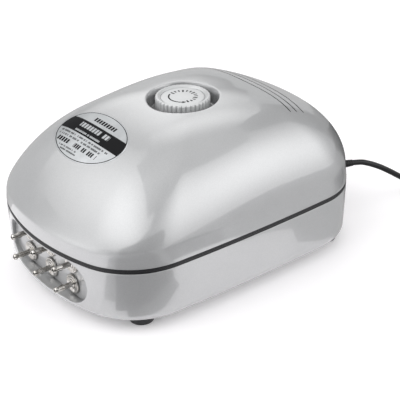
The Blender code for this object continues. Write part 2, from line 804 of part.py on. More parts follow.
def make_electromagnet():
    """E-shaped core with a coil on its middle leg; its poles face the rear."""
    half, window, middle = 21 * MM, 14 * MM, 6 * MM
    yoke = CORE_BACK_Y + 12 * MM
    side_pole = [(half, CORE_BACK_Y), (half, CORE_POLE_Y), (window, CORE_POLE_Y), (window, yoke)]
    right = [*side_pole, (middle, yoke), (middle, CORE_POLE_Y)]
    outline_points = right + [(-x, y) for x, y in right[::-1]]
    rings = [[(x, y, z) for x, y in outline_points] for z in (CORE_BOTTOM_Z, CORE_TOP_Z)]
    core = loft("magnet_core", rings, "laminations")
    bolts = [(side * CORE_BOLT_X, CORE_BOLT_Y) for side in (-1, 1)]
    holes = [((x, y, CORE_BOTTOM_Z - 5 * MM), 40 * MM) for x, y in bolts]
    cut(core, cylinders("core_holes", holes, 2.3 * MM, None, SMALL_ROUND))
    front, rear = yoke + 1 * MM, CORE_POLE_Y - 2 * MM
    rim = 1.6 * MM
    tube_x, rim_x = middle + 1.8 * MM, window - 0.5 * MM
    tube_z, rim_z = 13.8 * MM, 20 * MM
    tube_low, tube_high = (-tube_x, front, AXIS_Z - tube_z), (tube_x, rear, AXIS_Z + tube_z)
    bobbin = box("coil_bobbin", tube_low, tube_high, "white_plastic")
    for name, low, high in (("front", front, front + rim), ("rear", rear - rim, rear)):
        rim_low, rim_high = (-rim_x, low, AXIS_Z - rim_z), (rim_x, high, AXIS_Z + rim_z)
        join(bobbin, box(f"bobbin_{name}_rim", rim_low, rim_high, None))
    half_core = (CORE_TOP_Z - CORE_BOTTOM_Z) / 2
    inner = (middle + GAP, half_core + GAP)
    cut(bobbin, leg_passage("bobbin_hole", *inner))
    wound = (rim_x - 1 * MM, rim_z - 1 * MM)
    y_low, y_high = front + rim + GAP, rear - rim - GAP
    wound_low = (-wound[0], y_low, AXIS_Z - wound[1])
    wound_high = (wound[0], y_high, AXIS_Z + wound[1])
    winding = box("coil_winding", wound_low, wound_high, "copper", 2 * MM)
    clear = (tube_x + GAP, tube_z + GAP)
    cut(winding, leg_passage("winding_hole", *clear))
    for side, word in ((-1, "left"), (1, "right")):
        bolt = screw_profile(3.9 * MM, 3 * MM, 2 * MM, 40 * MM)
        place = (side * CORE_BOLT_X, CORE_BOLT_Y, CORE_TOP_Z + GAP)
        turned(f"core_bolt_{word}", bolt, "steel", place, steps=SMALL_ROUND)


def make_pivot_bracket():
    """Bent steel bracket with both arms' pins riveted in at top and bottom."""
    back, front = -45 * MM, -28 * MM
    low, high = BRACKET_BOTTOM_Z, BRACKET_TOP_Z
    section = [(back, low), (front, low), (front, low + SHEET), (back + SHEET, low + SHEET)]
    section += [(back + SHEET, high - SHEET), (front, high - SHEET), (front, high), (back, high)]
    rings = [[(x, y, z) for y, z in section] for x in (-36 * MM, 36 * MM)]
    bracket = loft("pivot_bracket", rings, "steel")
    pins = [((side * ARM_X, PIVOT_Y, low + SHEET / 2), high + 1 * MM - low) for side in (-1, 1)]
    join(bracket, cylinders("pivot_pins", pins, PIN_RADIUS, None, 16))


def make_arm(side, word):
    """Swinging arm: an eye on the pivot pin, a flat bar with a stud, and a magnet facing the core's poles."""
    axis = pivot(f"arm_axis_{word}", (side * ARM_X, PIVOT_Y, AXIS_Z))
    inside, outside = ARM_X - ARM_THICKNESS / 2, ARM_X + ARM_THICKNESS / 2
    end_y, holder_y = 49.3 * MM, 45.3 * MM
    eye_low, eye_high = BRACKET_BOTTOM_Z + SHEET + GAP, BRACKET_TOP_Z - SHEET - GAP

    def between(name, low_x, high_x, low_y, high_y, half_height, finish, bevel=0.0):
        near, far = sorted((side * low_x, side * high_x))
        low, high = (near, low_y, AXIS_Z - half_height), (far, high_y, AXIS_Z + half_height)
        return box(name, low, high, finish, bevel, axis if finish else None)

    arm = between(f"swing_arm_{word}", inside, outside, PIVOT_Y + 3 * MM, end_y, 7 * MM, "white_plastic")
    holder = between(f"arm_holder_{word}", 7 * MM, outside - 0.5 * MM, holder_y, end_y, 9 * MM, None)
    eye = cylinders(f"arm_eye_{word}", [((side * ARM_X, PIVOT_Y, eye_low), eye_high - eye_low)], 5 * MM, None)
    stud_ends = sorted((side * ARM_X, side * (outside + 5.6 * MM)))
    stud = [((stud_ends[0], HEAD_Y, AXIS_Z), stud_ends[1] - stud_ends[0])]
    join(arm, eye, holder, cylinders(f"arm_stud_{word}", stud, 1.5 * MM, None, SMALL_ROUND, "X"))
    bore = [((side * ARM_X, PIVOT_Y, eye_low - 5 * MM), 60 * MM)]
    cut(arm, cylinders(f"arm_bore_{word}", bore, PIN_RADIUS + GAP, None, 16))
    between(f"arm_magnet_{word}", 8 * MM, 25.5 * MM, 41.6 * MM, holder_y - GAP, 8 * MM, "magnet", 0.6 * MM)


def make_head(side, word):
    """Pump head: diaphragm, its clamp ring, valve body with two flaps, cover with the outlet spigot."""
    facing_out = (0, side * math.pi / 2, 0)
    place = (0, HEAD_Y, AXIS_Z)
    start = ARM_X + ARM_THICKNESS / 2 + GAP
    rim_low, rim_high = HEAD_X - GAP - 2.4 * MM, HEAD_X - GAP
    rubber = 1.6 * MM
    diaphragm = [
        (20.5 * MM, rim_high),
        (20.5 * MM, rim_low),
        (16.8 * MM, rim_low),
        (13 * MM, start + 1.8 * MM),
        (6.5 * MM, start),
        (1.8 * MM, start),
        (1.8 * MM, start + 2.4 * MM),
        (7.4 * MM, start + 2.8 * MM),
        (12.6 * MM, start + 2.2 * MM + rubber),
        (15.6 * MM, rim_high),
    ]
    turned(f"diaphragm_{word}", diaphragm, "black_rubber", place, facing_out, 18, loop=True)
    ring_low, ring_high = rim_low - GAP - 2.2 * MM, rim_low - GAP
    clamp = [(22 * MM, ring_high), (22 * MM, ring_low), (17.6 * MM, ring_low), (17.6 * MM, ring_high)]
    turned(f"clamp_ring_{word}", clamp, "steel", place, facing_out, 18, loop=True)

    def x_box(name, low_x, high_x, low_y, high_y, low_z, high_z, finish):
        near, far = sorted((side * low_x, side * high_x))
        return box(name, (near, low_y, low_z), (far, high_y, high_z), finish)

    def x_cylinders(name, spots, low_x, high_x, radius):
        near, far = sorted((side * low_x, side * high_x))
        ends = [((near, y, z), far - near) for y, z in spots]
        return cylinders(name, ends, radius, None, ROUND if radius > 5 * MM else 8, "X")

    front, rear = HEAD_Y - HEAD_HALF_WIDTH, HEAD_Y + HEAD_HALF_WIDTH
    back = HEAD_X + HEAD_DEPTH
    foot_z = CHASSIS_TOP_Z + GAP
    body = x_box(f"pump_head_{word}", HEAD_X, back, front, rear, foot_z, HEAD_TOP_Z, "white_plastic")
    valves = [(HEAD_Y - 8 * MM, AXIS_Z), (HEAD_Y + 8 * MM, AXIS_Z)]
    holes = [(HEAD_Y + a * 19 * MM, AXIS_Z + b * 19 * MM) for a in (-1, 1) for b in (-1, 1)]
    cut(
        body,
        x_cylinders(f"chamber_{word}", [(HEAD_Y, AXIS_Z)], HEAD_X - 5 * MM, back - WALL, 15 * MM),
        x_cylinders(f"valve_ports_{word}", valves, HEAD_X, back + 5 * MM, 2 * MM),
        x_cylinders(f"head_holes_{word}", holes, HEAD_X + 4 * MM, back + 5 * MM, 1.7 * MM),
    )
    sheet_low, sheet_high = back + GAP, back + 1.1 * MM
    outline = (front, rear, foot_z + 6 * MM, HEAD_TOP_Z)
    sheet = x_box(f"valve_sheet_{word}", sheet_low, sheet_high, *outline, "black_rubber")
    cut(sheet, x_cylinders(f"sheet_holes_{word}", holes, back - 5 * MM, back + 5 * MM, 1.7 * MM))
    for number, (y, z) in enumerate(valves):
        slot_profile = [(5 * MM, 4 * MM), (5 * MM, -4 * MM), (4.2 * MM, -4 * MM), (4.2 * MM, 4 * MM)]
        middle = (side * back, y, z)
        slot = turned(f"flap_slot_{word}_{number}", slot_profile, None, middle, facing_out, 10, loop=True)
        across = (back - 8 * MM, back + 8 * MM, y - 2.4 * MM, y + 2.4 * MM)
        hinge = x_box(f"flap_hinge_{word}_{number}", *across, z, z + 9 * MM, None)
        cut(slot, hinge)
        cut(sheet, slot)
    cover_low, cover_high = sheet_high + GAP, back + 12.6 * MM
    cover = x_box(f"head_cover_{word}", cover_low, cover_high, *outline, "white_plastic")
    spigot_x = side * (cover_low + cover_high) / 2
    spigot_z = AXIS_Z - 6 * MM
    spigot = [((spigot_x, front - SPIGOT_LENGTH, spigot_z), SPIGOT_LENGTH + 1 * MM)]
    spigot = cylinders(f"head_spigot_{word}", spigot, SPIGOT_RADIUS, None, SMALL_ROUND, "Y")
    chambers = []
    for name, y in (("outlet", valves[0][0] - 3 * MM), ("inlet", valves[1][0] + 3 * MM)):
        ends = (cover_low - 5 * MM, cover_high - 2.5 * MM, y - 9 * MM, y + 9 * MM)
        chambers.append(x_box(f"{name}_chamber_{word}", *ends, AXIS_Z - 12 * MM, AXIS_Z + 12 * MM, None))
    bore = [((spigot_x, front - SPIGOT_LENGTH - 5 * MM, spigot_z), 22 * MM)]
    bore = cylinders(f"head_bore_{word}", bore, 1.5 * MM, None, SMALL_ROUND, "Y")
    intake_spot = [((spigot_x, HEAD_Y + 11 * MM, AXIS_Z), 20 * MM)]
    intake = cylinders(f"head_intake_{word}", intake_spot, 2 * MM, None, SMALL_ROUND, "Y")
    join(cover, spigot)
    cut(cover, *chambers, bore, intake)
    screws = x_cylinders(f"head_screws_{word}", holes, back - 6 * MM, cover_high - 1 * MM, 1.4 * MM)
    heads_low, heads_high = cover_high - 1 * MM, cover_high + 2 * MM
    screw_heads = x_cylinders(f"head_screw_heads_{word}", holes, heads_low, heads_high, 3 * MM)
    join(cover, screw_heads, screws)
    start_y = front - SPIGOT_LENGTH + 8 * MM
    bends = [(61, -46, 46.6), (52, -57, 43.6), (39, -63, 40), (31.6, -70, 38.2), (30, -77, 38), (30, -84, 38)]
    route = [Vector((spigot_x, start_y, spigot_z)), Vector((spigot_x, start_y - 13 * MM, spigot_z))]
    route += [Vector((side * x, y, z)) * MM for x, y, z in bends]
    route.append(Vector((side * INLET_X, MANIFOLD_BACK_Y + GAP, INLET_Z)))
    hose(f"air_hose_{word}", route, "hose_silicone")


# ----------------------------------------------------------------------------------------- label and lead


def make_label():
    """Thin oval label that follows the front slope."""
    lift = 0.9 * MM
    count, rows = 24, 3
    centre_x, centre_y = LABEL_CENTRE
    bm = bmesh.new()
    middle = bm.verts.new((centre_x, centre_y, dome_height(centre_x, centre_y) + lift))
    rings = []
    for row in range(1, rows + 1):
        reach = row / rows
        points = []
        for step in range(count):
            angle = 2 * math.pi * step / count
            x = centre_x + reach * LABEL_HALF_LENGTH * math.cos(angle)
            y = centre_y + reach * LABEL_HALF_WIDTH * math.sin(angle)
            points.append(bm.verts.new((x, y, dome_height(x, y) + lift)))
        rings.append(points)
    for i in range(count):
        j = (i + 1) % count
        bm.faces.new((middle, rings[0][i], rings[0][j]))
        for inner, outer in zip(rings, rings[1:]):
            bm.faces.new((inner[i], outer[i], outer[j], inner[j]))
    label = add("rating_label", mesh_from(bm, "rating_label"), "label_film")
    film = label.modifiers.new("film", "SOLIDIFY")
    film.thickness = 0.3 * MM
    film.offset = 1
    return smooth(label)


def make_lead():
    """Strain relief in the rear wall, the lead to its coil, and a two-pin plug."""
    place, outward = wall_frame()
    turn = outward.to_track_quat("Z", "Y").to_euler()
    bore = CORD_RADIUS + GAP
    boot = [
        (bore, BOOT_REACH),
        (3.1 * MM, BOOT_REACH),
        (3.5 * MM, 3 * MM),
        (5.6 * MM, 1.6 * MM),
        (5.6 * MM, 0.5 * MM),
        (4.4 * MM, 0.5 * MM),
        (4.4 * MM, -WALL - 1.2 * MM),
        (6.6 * MM, -WALL - 1.2 * MM),
        (6.2 * MM, -WALL - 5 * MM),
        (4.4 * MM, -WALL - 7 * MM),
        (bore, -WALL - 7 * MM),
    ]
    turned("cord_boot", boot, "black_rubber", place, turn, 16, loop=True)
    inner_end = place - outward * (WALL + 7.4 * MM)
    terminal = Vector((24 * MM, 98 * MM, 20 * MM))
    end = terminal + Vector((6, 0.5, 2)) * MM
    tail = [inner_end, inner_end - outward * 5 * MM, Vector((33, 104, 31)) * MM, end]
    wires("inner_lead", [tail], CORD_RADIUS, "black_rubber", 6 * MM)
    low = FOOT_HEIGHT + WALL + GAP
    box("terminal_block", (6 * MM, 90 * MM, low), (26 * MM, 104 * MM, 26 * MM), "white_plastic", 0.8 * MM)
    points = [(12, 89, 20), (11, 82, 23), (4, 66, 40), (-2, 56, 62), (-4, 46, 78), (-4, 38.5, 84)]
    wires("coil_lead", [[Vector(p) * MM for p in points]], 1.5 * MM, "wire_blue", 7 * MM)
    wires("power_cord", [[Vector(p) * MM for p in CORD_ROUTE]], CORD_RADIUS, "black_rubber", 8 * MM)
    outer, inner = COIL_RADIUS + COIL_HALF_WIDTH, COIL_RADIUS - COIL_HALF_WIDTH
    low, high, soft = COIL_BOTTOM_Z, COIL_BOTTOM_Z + COIL_HEIGHT, 1.6 * MM
    profile = [
        (outer - soft, high),
        (outer, high - soft),
        (outer, low),
        (inner, low),
        (inner, high - soft),
        (inner + soft, high),
    ]
    turned("cord_coil", profile, "black_rubber", COIL_CENTRE, steps=32, loop=True)


def make_plug():
    """Flat two-pin plug on the floor beside the coil, its pins away from the lead."""
    tail = PLUG_TAIL
    sections = [(0, 3.4, 3.4), (5, 4.2, 3.9), (12, 6.6, 5.2), (20, 8.2, 6.2), (34, 8.4, 6.4), (37, 7.6, 5.8)]
    rings = []
    for along, half_wide, half_high in sections:
        points = []
        for step in range(16):
            angle = 2 * math.pi * step / 16
            x = abs(math.cos(angle)) ** 0.6 * math.copysign(half_wide, math.cos(angle))
            z = abs(math.sin(angle)) ** 0.6 * math.copysign(half_high, math.sin(angle))
            points.append((tail.x + x * MM, tail.y - along * MM, tail.z + z * MM))
        rings.append(points)
    plug = loft("mains_plug", rings, "black_rubber")
    spots = [((tail.x + side * 4.65 * MM, tail.y - 56 * MM, tail.z), 20 * MM) for side in (-1, 1)]
    join(plug, cylinders("plug_pins", spots, 2 * MM, None, SMALL_ROUND, "Y"))


def build():
    make_cover()
    make_base()
    make_gasket()
    make_feet()
    make_case_screws()
    make_intake()
    make_outlets()
    make_manifold()
    make_knob(pivot("knob_axis", (0, KNOB_Y, 0)))
    make_control()
    make_chassis()
    make_electromagnet()
    make_pivot_bracket()
    for side, word in ((-1, "left"), (1, "right")):
        make_arm(side, word)
        make_head(side, word)
    make_label()
    make_lead()
    make_plug()


clear_scene()
PUMP = new_collection("air_pump")
CUTTERS = new_collection("cutters")
MATERIALS = make_materials()
build()
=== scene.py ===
"""Looks of the aquarium air pump: two-part silver case, control knob, six nickel outlets, black cord.

Frame: +Z up, origin on the floor under the middle of the case, outlets facing -Y.
Numbers here are millimetres, turned to metres where a mesh or curve is made.
"""

import math

import bmesh
import bpy
import numpy as np
from mathutils import Matrix, Vector


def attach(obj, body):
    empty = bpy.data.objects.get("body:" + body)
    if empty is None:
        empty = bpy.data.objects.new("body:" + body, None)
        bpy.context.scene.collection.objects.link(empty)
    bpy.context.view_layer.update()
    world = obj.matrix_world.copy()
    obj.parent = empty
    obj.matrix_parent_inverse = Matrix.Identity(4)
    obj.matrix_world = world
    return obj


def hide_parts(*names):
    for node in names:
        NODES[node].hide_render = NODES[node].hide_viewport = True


MM = 0.001
TAU = 2 * math.pi

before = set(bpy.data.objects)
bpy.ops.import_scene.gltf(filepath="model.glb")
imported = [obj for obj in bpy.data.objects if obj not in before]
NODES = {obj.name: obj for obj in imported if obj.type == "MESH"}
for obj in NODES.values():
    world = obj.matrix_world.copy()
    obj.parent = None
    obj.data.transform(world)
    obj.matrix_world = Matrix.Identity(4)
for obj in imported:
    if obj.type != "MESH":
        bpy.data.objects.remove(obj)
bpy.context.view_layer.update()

# The case, as part.py has it: three arcs to a quarter in plan, and a dome over a short skirt.
HALF_LENGTH, HALF_WIDTH = 130, 92.4
SIDE_BOW, FRONT_BOW, REAR_BOW = 1540, 170.5, 108.7
FRONT_CORNER, REAR_CORNER = 54.4, 49
FOOT_HEIGHT, BASE_RIM_Z, COVER_RIM_Z, SKIRT_TOP_Z = 8.2, 50.3, 53.3, 63.2
CREST_Y, CREST_Z = 17.7, 123.3
WALL, SKIRT_DRAFT, BASE_DRAFT, BASE_FILLET = 3, 1, 1, 8
FRONT_FULLNESS, SIDE_FULLNESS, REAR_FULLNESS = 2.67, 3.0, 1.84
FRONT_ROUNDNESS, SIDE_ROUNDNESS, REAR_ROUNDNESS = 1.0, 2.0, 1.81
SIDE_SPREAD = 1.78
AROUND = 288  # points round each shell

KNOB_Y = 2.2
WELL_RADIUS, WELL_FLOOR_Z = 27.1, 110
KNOB_RADIUS, KNOB_BOTTOM_Z, KNOB_TOP_Z = 20.4, 112.2, 123.6
KNOB_RIDGES = 36
CAP_RADIUS, DISC_TOP_Z = 16.3, 122.6

POCKET_FLOOR_Y, POCKET_HALF_LENGTH, POCKET_HALF_HEIGHT, POCKET_Z = -118, 50.5, 16.8, 31.3
OUTLET_PITCH_X, OUTLET_ROWS_Z = 28.3, (23.5, 40.4)
OUTLET_SPOTS = [(i * OUTLET_PITCH_X, POCKET_FLOOR_Y, z) for z in OUTLET_ROWS_Z for i in (-1, 0, 1)]
FOOT_X, FOOT_Y = 66, 87.3
FOOT_SPOTS = [(FOOT_X, FOOT_Y, 0), (-FOOT_X, FOOT_Y, 0), (-FOOT_X, -FOOT_Y, 0), (FOOT_X, -FOOT_Y, 0)]
INTAKE_Y, INTAKE_RADIUS, INTAKE_SEAT_RADIUS = 20, 18, 22
LABEL_X, LABEL_Y, LABEL_HALF_LENGTH, LABEL_HALF_WIDTH = -13.7, -70.3, 37.9, 20.4


def link(obj):
    bpy.context.scene.collection.objects.link(obj)
    return obj


# ------------------------------ camera

EYE = (634.676, -465.469, 478.009)
LENS, SENSOR_WIDTH = 105.634, 36
# Which way the camera is from what it looks at, in degrees: round from +X to +Y, up, and turned
# about its own axis.
EYE_AZIMUTH, EYE_ELEVATION, EYE_ROLL = -37.2026, 29.3329, -1.1064


def make_camera():
    data = bpy.data.cameras.new("camera")
    data.lens = LENS
    data.sensor_width = SENSOR_WIDTH
    data.clip_start, data.clip_end = 0.05, 20
    camera = link(bpy.data.objects.new("camera", data))
    around = Matrix.Rotation(math.radians(EYE_AZIMUTH + 90), 4, "Z")
    tilt = Matrix.Rotation(math.radians(90 - EYE_ELEVATION), 4, "X")
    roll = Matrix.Rotation(math.radians(EYE_ROLL), 4, "Z")
    camera.matrix_world = Matrix.Translation(Vector(EYE) * MM) @ around @ tilt @ roll
    bpy.context.scene.camera = camera


make_camera()

# ------------------------------ materials


def new_material(name, colour, roughness, metallic=0.0, **sockets):
    """A Principled material. Every other socket is named in words with underscores."""
    made = bpy.data.materials.new(name)
    made.use_nodes = True
    shader = made.node_tree.nodes["Principled BSDF"]
    shader.inputs["Base Color"].default_value = (*colour, 1)
    shader.inputs["Roughness"].default_value = roughness
    shader.inputs["Metallic"].default_value = metallic
    for socket, value in sockets.items():
        shader.inputs[socket.replace("_", " ").title().replace("Ior", "IOR")].default_value = value
    return made


WAVE_REPEAT = TAU / 20  # how far apart a wave texture's bands are at scale 1


class Nodes:
    """Short words for building one material's node tree."""

    def __init__(self, material):
        self.tree = material.node_tree
        self.shader = self.tree.nodes["Principled BSDF"]
        self.place = self.tree.nodes.new("ShaderNodeTexCoord").outputs["Object"]

    def new(self, kind, inputs=None, **settings):
        node = self.tree.nodes.new(kind)
        for name, value in settings.items():
            setattr(node, name, value)
        for socket, value in (inputs or {}).items():
            if isinstance(value, bpy.types.NodeSocket):
                self.tree.links.new(value, node.inputs[socket])
            else:
                node.inputs[socket].default_value = value
        return node

    def noise(self, per_metre, detail=3.0, squeeze=None, roughness=0.55):
        """Noise whose patches can be squeezed along each axis."""
        place = self.place
        if squeeze:
            place = self.new("ShaderNodeMapping", {"Vector": place, "Scale": squeeze}).outputs["Vector"]
        inputs = {"Vector": place, "Scale": per_metre, "Detail": detail, "Roughness": roughness}
        return self.new("ShaderNodeTexNoise", inputs).outputs["Fac"]

    def waves(self, per_metre, direction, distortion=0.0):
        """Bands along one axis, so many to a metre."""
        inputs = {"Vector": self.place, "Scale": per_metre * WAVE_REPEAT, "Distortion": distortion}
        node = self.new("ShaderNodeTexWave", inputs, bands_direction=direction)
        return node.outputs["Fac"]

    def mapped(self, value, low, high, from_low=0.3, from_high=0.7):
        inputs = {"Value": value, "From Min": from_low, "From Max": from_high, "To Min": low, "To Max": high}
        return self.new("ShaderNodeMapRange", inputs).outputs["Result"]

    def mix(self, share, low, high):
        """A colour between two others, each a tuple or a socket."""
        # The node keeps its two colours in its sockets 6 and 7, and their mix in its output 2.
        low, high = ((*colour, 1) if isinstance(colour, tuple) else colour for colour in (low, high))
        return self.new("ShaderNodeMix", {"Factor": share, 6: low, 7: high}, data_type="RGBA").outputs[2]

    def maths(self, operation, *values):
        return self.new("ShaderNodeMath", dict(enumerate(values)), operation=operation).outputs["Value"]

    def times(self, *values):
        result = values[0]
        for value in values[1:]:
            result = self.maths("MULTIPLY", result, value)
        return result

    def bump(self, height, strength, distance, normal=None):
        inputs = {"Height": height, "Strength": strength, "Distance": distance}
        if normal is not None:
            inputs["Normal"] = normal
        return self.new("ShaderNodeBump", inputs).outputs["Normal"]

    def set(self, socket, value):
        self.tree.links.new(value, self.shader.inputs[socket])


def grained(name, colour, darker, roughness, metallic=0.0, grain=1800, strength=0.25, **sockets):
    """A moulded or cast material: colour and roughness vary in soft patches, over a fine grain."""
    made = new_material(f"{name}_look", colour, roughness, metallic, **sockets)
    nodes = Nodes(made)
    patches = nodes.noise(55, 4)
    fine = nodes.noise(grain, 2)
    both = nodes.maths("ADD", nodes.times(patches, 0.5), nodes.times(fine, 0.5))
    nodes.set("Base Color", nodes.mix(nodes.mapped(patches, 0, 1), darker, colour))
    nodes.set("Roughness", nodes.mapped(both, roughness - 0.06, roughness + 0.06))
    nodes.set("Normal", nodes.bump(fine, strength, 0.05 * MM))
    return made


def silver_paint():
    """Sprayed silver over moulded plastic: fine flake, a little orange peel, faint hairlines, clear coat, and
    painted shade that darkens it in grooves and recesses.
    """
    coat = {"coat_weight": 1.0, "coat_roughness": 0.03, "coat_ior": 1.9}
    made = new_material("silver_paint_look", (0.44, 0.445, 0.45), 0.34, 0.4, **coat)
    nodes = Nodes(made)
    flake = nodes.new("ShaderNodeTexVoronoi", {"Vector": nodes.place, "Scale": 2600.0}).outputs["Color"]
    flake = nodes.new("ShaderNodeSeparateColor", {"Color": flake}).outputs["Red"]
    cloud = nodes.noise(18, 3)
    tone = nodes.maths("ADD", nodes.times(flake, 0.35), nodes.times(cloud, 0.65))
    paint_before_shade = nodes.mix(nodes.mapped(tone, 0, 1, 0.2, 0.8), (0.40, 0.404, 0.412), (0.475, 0.48, 0.486))
    # Painted shade: ambient occlusion darkens the paint towards near black in grooves, the knob's well and
    # other recesses.
    painted_shade_openness = nodes.new("ShaderNodeAmbientOcclusion", {"Distance": 0.009}, samples=8).outputs["AO"]
    nodes.set("Base Color", nodes.mix(nodes.mapped(painted_shade_openness, 0, 1, 0.15, 0.8), (0.06, 0.06, 0.062), paint_before_shade))
    hairlines = nodes.noise(900, 2, (0.05, 1, 1))
    worn = nodes.maths("ADD", nodes.times(hairlines, 0.4), nodes.times(cloud, 0.6))
    nodes.set("Roughness", nodes.mapped(worn, 0.30, 0.39))
    peel = nodes.bump(nodes.noise(420, 2), 0.05, 0.05 * MM)
    nodes.set("Normal", nodes.bump(flake, 0.06, 0.02 * MM, peel))
    return made


def nickel():
    """Turned and plated brass: fine rings from the tool, and a warm patchy tarnish."""
    made = new_material("nickel_look", (0.60, 0.58, 0.54), 0.16, 1.0)
    nodes = Nodes(made)
    stain = nodes.noise(260, 4)
    nodes.set("Base Color", nodes.mix(nodes.mapped(stain, 0, 1), (0.70, 0.69, 0.67), (0.36, 0.34, 0.31)))
    nodes.set("Roughness", nodes.mapped(stain, 0.10, 0.26))
    nodes.set("Normal", nodes.bump(nodes.waves(4136, "Y", 0.4), 0.12, 0.02 * MM))
    return made


def steel():
    made = new_material("steel_look", (0.60, 0.60, 0.61), 0.33, 1.0)
    nodes = Nodes(made)
    brushed = nodes.noise(700, 3, (1, 0.06, 1))
    stain = nodes.noise(90, 4)
    nodes.set("Base Color", nodes.mix(nodes.mapped(stain, 0, 1), (0.50, 0.49, 0.48), (0.66, 0.66, 0.67)))
    nodes.set("Roughness", nodes.mapped(brushed, 0.24, 0.44))
    nodes.set("Normal", nodes.bump(brushed, 0.15, 0.03 * MM))
    return made


def striped(name, colour, groove, roughness, metallic, per_metre, direction, depth):
    """Something laid side by side, such as core laminations or turns of wire."""
    made = new_material(f"{name}_look", colour, roughness, metallic)
    nodes = Nodes(made)
    stripes = nodes.waves(per_metre, direction)
    patches = nodes.noise(150, 3)
    tone = nodes.times(stripes, nodes.mapped(patches, 0.7, 1.0))
    nodes.set("Base Color", nodes.mix(tone, groove, colour))
    nodes.set("Roughness", nodes.mapped(patches, roughness - 0.06, roughness + 0.1))
    nodes.set("Normal", nodes.bump(stripes, 0.8, depth * MM))
    return made


def board_green():
    """Circuit board: solder resist over square tracks, with a pattern of round pads."""
    made = new_material("board_green_look", (0.04, 0.22, 0.09), 0.35, coat_weight=0.4)
    nodes = Nodes(made)
    layout = {"Vector": nodes.place, "Scale": 240.0, "Mortar Size": 0.06}
    tracks = nodes.new("ShaderNodeTexBrick", layout).outputs["Fac"]
    layout = {"Vector": nodes.place, "Scale": 190.0, "Randomness": 0.4}
    pads = nodes.maths("LESS_THAN", nodes.new("ShaderNodeTexVoronoi", layout).outputs["Distance"], 0.16)
    resist = nodes.mix(tracks, (0.03, 0.19, 0.08), (0.06, 0.30, 0.13))
    nodes.set("Base Color", nodes.mix(pads, resist, (0.70, 0.70, 0.66)))
    nodes.set("Roughness", nodes.mapped(nodes.noise(400), 0.3, 0.45))
    nodes.set("Normal", nodes.bump(tracks, 0.4, 0.05 * MM))
    return made


def felt():
    made = new_material("felt_look", (0.78, 0.78, 0.74), 0.95, sheen_weight=0.3)
    nodes = Nodes(made)
    fibres = nodes.noise(1400, 5, (1, 1, 0.3), 0.75)
    nodes.set("Base Color", nodes.mix(nodes.mapped(fibres, 0, 1), (0.58, 0.58, 0.53), (0.86, 0.86, 0.82)))
    nodes.set("Normal", nodes.bump(fibres, 0.9, 0.4 * MM))
    return made


# The label's print, in millimetres from its middle: the band, then rows of marks, each with its bottom,
# top, left and right, how many marks to a metre, and the share of them that shows.
LABEL_BAND = (-2.7, 8.3)
LIGHT_MARKS = ((2.6, 6.4, -19, 17, 300, 0.9), (-1.5, -0.1, -20, 12, 900, 0.75))
DARK_MARKS = (
    (10.8, 14.2, -12, 14, 330, 1.0),
    (-5.4, -4.1, -31, 28, 1000, 0.72),
    (-8.0, -6.7, -30, 24, 1000, 0.72),
    (-12.6, -9.4, -27, -12, 330, 1.0),
    (-12.6, -9.4, -6, 22, 420, 0.86),
    (-15.2, -14.2, -20, 2, 1000, 0.8),
    (-17.2, -16.2, -16, 4, 1000, 0.8),
)
MARK_WIDTH = 0.72  # of the distance from mark to mark
RIM_LINE = (0.905, 0.95)  # the square of its reach, as a share of the label's


def label_film():
    """Silvery film printed with a dark rim line, a black band and rows of small plain marks."""
    made = new_material("label_film_look", (0.60, 0.62, 0.64), 0.34, 0.5, specular_ior_level=0.08)
    nodes = Nodes(made)
    apart = nodes.new("ShaderNodeSeparateXYZ", {"Vector": nodes.place})
    along = nodes.maths("SUBTRACT", apart.outputs["X"], LABEL_X * MM)
    across = nodes.maths("SUBTRACT", apart.outputs["Y"], LABEL_Y * MM)

    def within(value, low, high):
        return nodes.times(nodes.maths("GREATER_THAN", value, low), nodes.maths("LESS_THAN", value, high))

    def marks(low, high, left, right, per_metre, share, seed):
        """A row of upright bars with gaps between them, all within one rectangle."""
        spot = nodes.times(along, float(per_metre))
        inputs = {"X": nodes.maths("FLOOR", spot), "Y": float(seed)}
        inputs = {"Vector": nodes.new("ShaderNodeCombineXYZ", inputs).outputs["Vector"]}
        random = nodes.new("ShaderNodeTexWhiteNoise", inputs, noise_dimensions="3D").outputs["Value"]
        shown = nodes.maths("LESS_THAN", random, share)
        bar = nodes.maths("LESS_THAN", nodes.maths("FRACT", spot), MARK_WIDTH)
        place = nodes.times(within(across, low * MM, high * MM), within(along, left * MM, right * MM))
        return nodes.times(place, shown, bar)

    def all_marks(rows, first_seed):
        shown = None
        for seed, row in enumerate(rows, start=first_seed):
            more = marks(*row, seed)
            shown = more if shown is None else nodes.maths("MAXIMUM", shown, more)
        return shown

    def squared(value, half):
        return nodes.maths("POWER", nodes.maths("ABSOLUTE", nodes.times(value, 1 / (half * MM))), 2.0)

    reach = nodes.maths("ADD", squared(along, LABEL_HALF_LENGTH), squared(across, LABEL_HALF_WIDTH))
    rim_start, rim_end = RIM_LINE
    band_low, band_high = LABEL_BAND
    inside = nodes.maths("LESS_THAN", reach, rim_start)
    band = nodes.times(within(across, band_low * MM, band_high * MM), inside)
    light = all_marks(LIGHT_MARKS, 1)
    dark = all_marks(DARK_MARKS, 1 + len(LIGHT_MARKS))
    ink = nodes.maths("MAXIMUM", within(reach, rim_start, rim_end), nodes.maths("MAXIMUM", band, dark))
    ink = nodes.times(ink, nodes.maths("SUBTRACT", 1.0, nodes.times(light, band)))
    film = nodes.mix(nodes.mapped(nodes.noise(120), 0, 1), (0.53, 0.547, 0.558), (0.61, 0.626, 0.638))
    nodes.set("Metallic", nodes.mapped(ink, 0, 1, 0.55, 0.0))
    nodes.set("Base Color", nodes.mix(ink, film, (0.006, 0.006, 0.007)))
    nodes.set("Roughness", nodes.mapped(nodes.noise(500, 2), 0.30, 0.42))
    nodes.set("Normal", nodes.bump(nodes.noise(700, 2), 0.08, 0.03 * MM))
    return made


